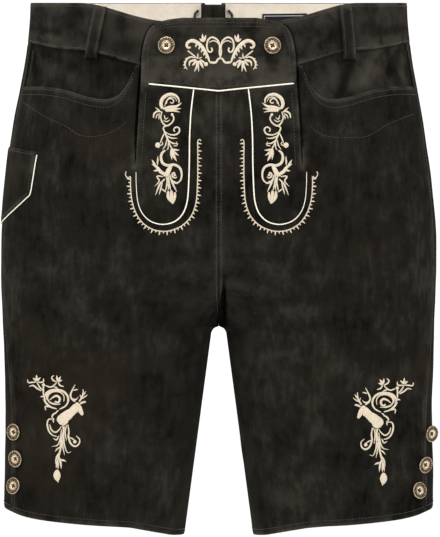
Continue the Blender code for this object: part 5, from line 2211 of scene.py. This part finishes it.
def buttonData():
    # A stamped face: four holes in a shallow dish, a ring of lobes and a corded rim
    profile, steps, edge = button["profile"], button["steps"], button["holeRadius"] + 0.3
    mesh = bmesh.new()
    hollow = mesh.verts.layers.float.new("hollow")
    grid = bmesh.ops.create_grid(mesh, x_segments=steps, y_segments=len(profile) - 1, size=0.5)
    for vert in grid["verts"]:
        radius, height, dark = profile[round((vert.co.y + 0.5) * (len(profile) - 1))]
        turn = (vert.co.x + 0.5) * math.tau
        if height > button["faceFrom"]:
            for middle, reach, lobes, tall, deep, start, slope in button["rings"]:
                ring = smoothStep(1 - abs(radius - middle) / reach)
                wave = math.cos(lobes * turn)
                height += tall * wave * ring
                dark += deep * ring * smoothStep(start - wave * slope)
        across, upward = radius * math.cos(turn), radius * math.sin(turn)
        for k in range(4):
            corner = math.radians(45 + 90 * k)
            away = math.hypot(
                across - button["holes"] * math.cos(corner), upward - button["holes"] * math.sin(corner)
            )
            if height > button["faceFrom"] and away < edge:
                sunk = smoothStep((edge - away) / 0.5)
                height -= button["holeDepth"] * sunk
                dark = max(dark, 1.1 * sunk)
        vert.co = Vector((across, upward, height)) * mm
        vert[hollow] = min(1.1, dark)
    bmesh.ops.remove_doubles(mesh, verts=mesh.verts, dist=0.003 * mm)
    bmesh.ops.recalc_face_normals(mesh, faces=mesh.faces)
    return meshOf("button", mesh, 60)


def makeButtons():
    face = buttonData()
    threads = []
    for node, side, angle, height, lift, lean, tilt in button["rows"]:
        outward = Vector((side * formNormal(angle, height).x, *formNormal(angle, height).yz))
        forward = outward.rotation_difference(Vector((0, -1, 0)))
        outward.rotate(Quaternion(forward.axis, min(forward.angle, math.radians(lean))))
        outward.z += tilt
        foot = surfaceAt(side, angle, height, lift + button["stem"] * math.sin(math.radians(lean)))[0]
        twist = Quaternion((0, 0, 1), math.radians(7.0 * (len(threads) % 5)))
        placed = Matrix.Translation(foot) @ (outward.to_track_quat("Z", "Y") @ twist).to_matrix().to_4x4()
        data = face.copy()
        data.transform(placed)
        data.name = f"brass_{node}"
        addPiece(data.name, data, "brass", [node])
        for corner in (math.radians(45), math.radians(135)):
            strand = []
            for reach, up, share in button["thread"]:
                at = Vector((reach * math.cos(corner), reach * math.sin(corner), button["dish"] + up)) * mm
                strand.append((placed @ at, share))
            threads.append(strand)
    tubePiece("stitching_buttons", threads, button["threadRadius"], "stitching", resolution=2)


makeButtons()
print("buttons done")


stage = {
    "floorHeight": -0.86,
    "floorRadius": 14.0,
    "sky": 1.0,
    "floor": (0.93, 0.93, 0.92, 1),
    "exposure": 0.16,
    # name, place, the point it is turned to, size and power
    "lights": (
        ("key", (-0.9, -1.5, 1.3), (0, 0, -0.1), 1.2, 16),
        ("fill", (1.4, -1.7, 0.6), (0, 0, -0.2), 1.4, 7),
        ("top", (0.0, -0.5, 2.0), (0, 0, -0.1), 1.4, 20),
        ("back", (0.6, 2.2, 1.2), (0, 0, -0.25), 1.4, 14),
    ),
}


def makeStage():
    mesh = bmesh.new()
    bmesh.ops.create_circle(mesh, cap_ends=True, segments=96, radius=stage["floorRadius"])
    bmesh.ops.translate(mesh, verts=mesh.verts, vec=(0, 0, stage["floorHeight"]))
    floor = bpy.data.objects.new("floor", meshOf("floor", mesh))
    floor.data.materials.append(newMaterial("floor", Roughness=0.9, Base_Color=stage["floor"])[0])
    bpy.context.collection.objects.link(floor)
    world = bpy.data.worlds.new("studio")
    world.use_nodes = True
    world.node_tree.nodes["Background"].inputs["Color"].default_value = (1, 1, 1, 1)
    world.node_tree.nodes["Background"].inputs["Strength"].default_value = stage["sky"]
    bpy.context.scene.world = world
    for name, place, aim, size, power in stage["lights"]:
        data = bpy.data.lights.new(name, "AREA")
        data.size = size
        data.energy = power
        lamp = bpy.data.objects.new(name, data)
        lamp.location = place
        lamp.rotation_euler = (Vector(aim) - Vector(place)).to_track_quat("-Z", "Y").to_euler()
        bpy.context.collection.objects.link(lamp)
    settings = bpy.context.scene.view_settings
    settings.view_transform = "Standard"
    settings.exposure = stage["exposure"]


makeStage()
print("stage ready")
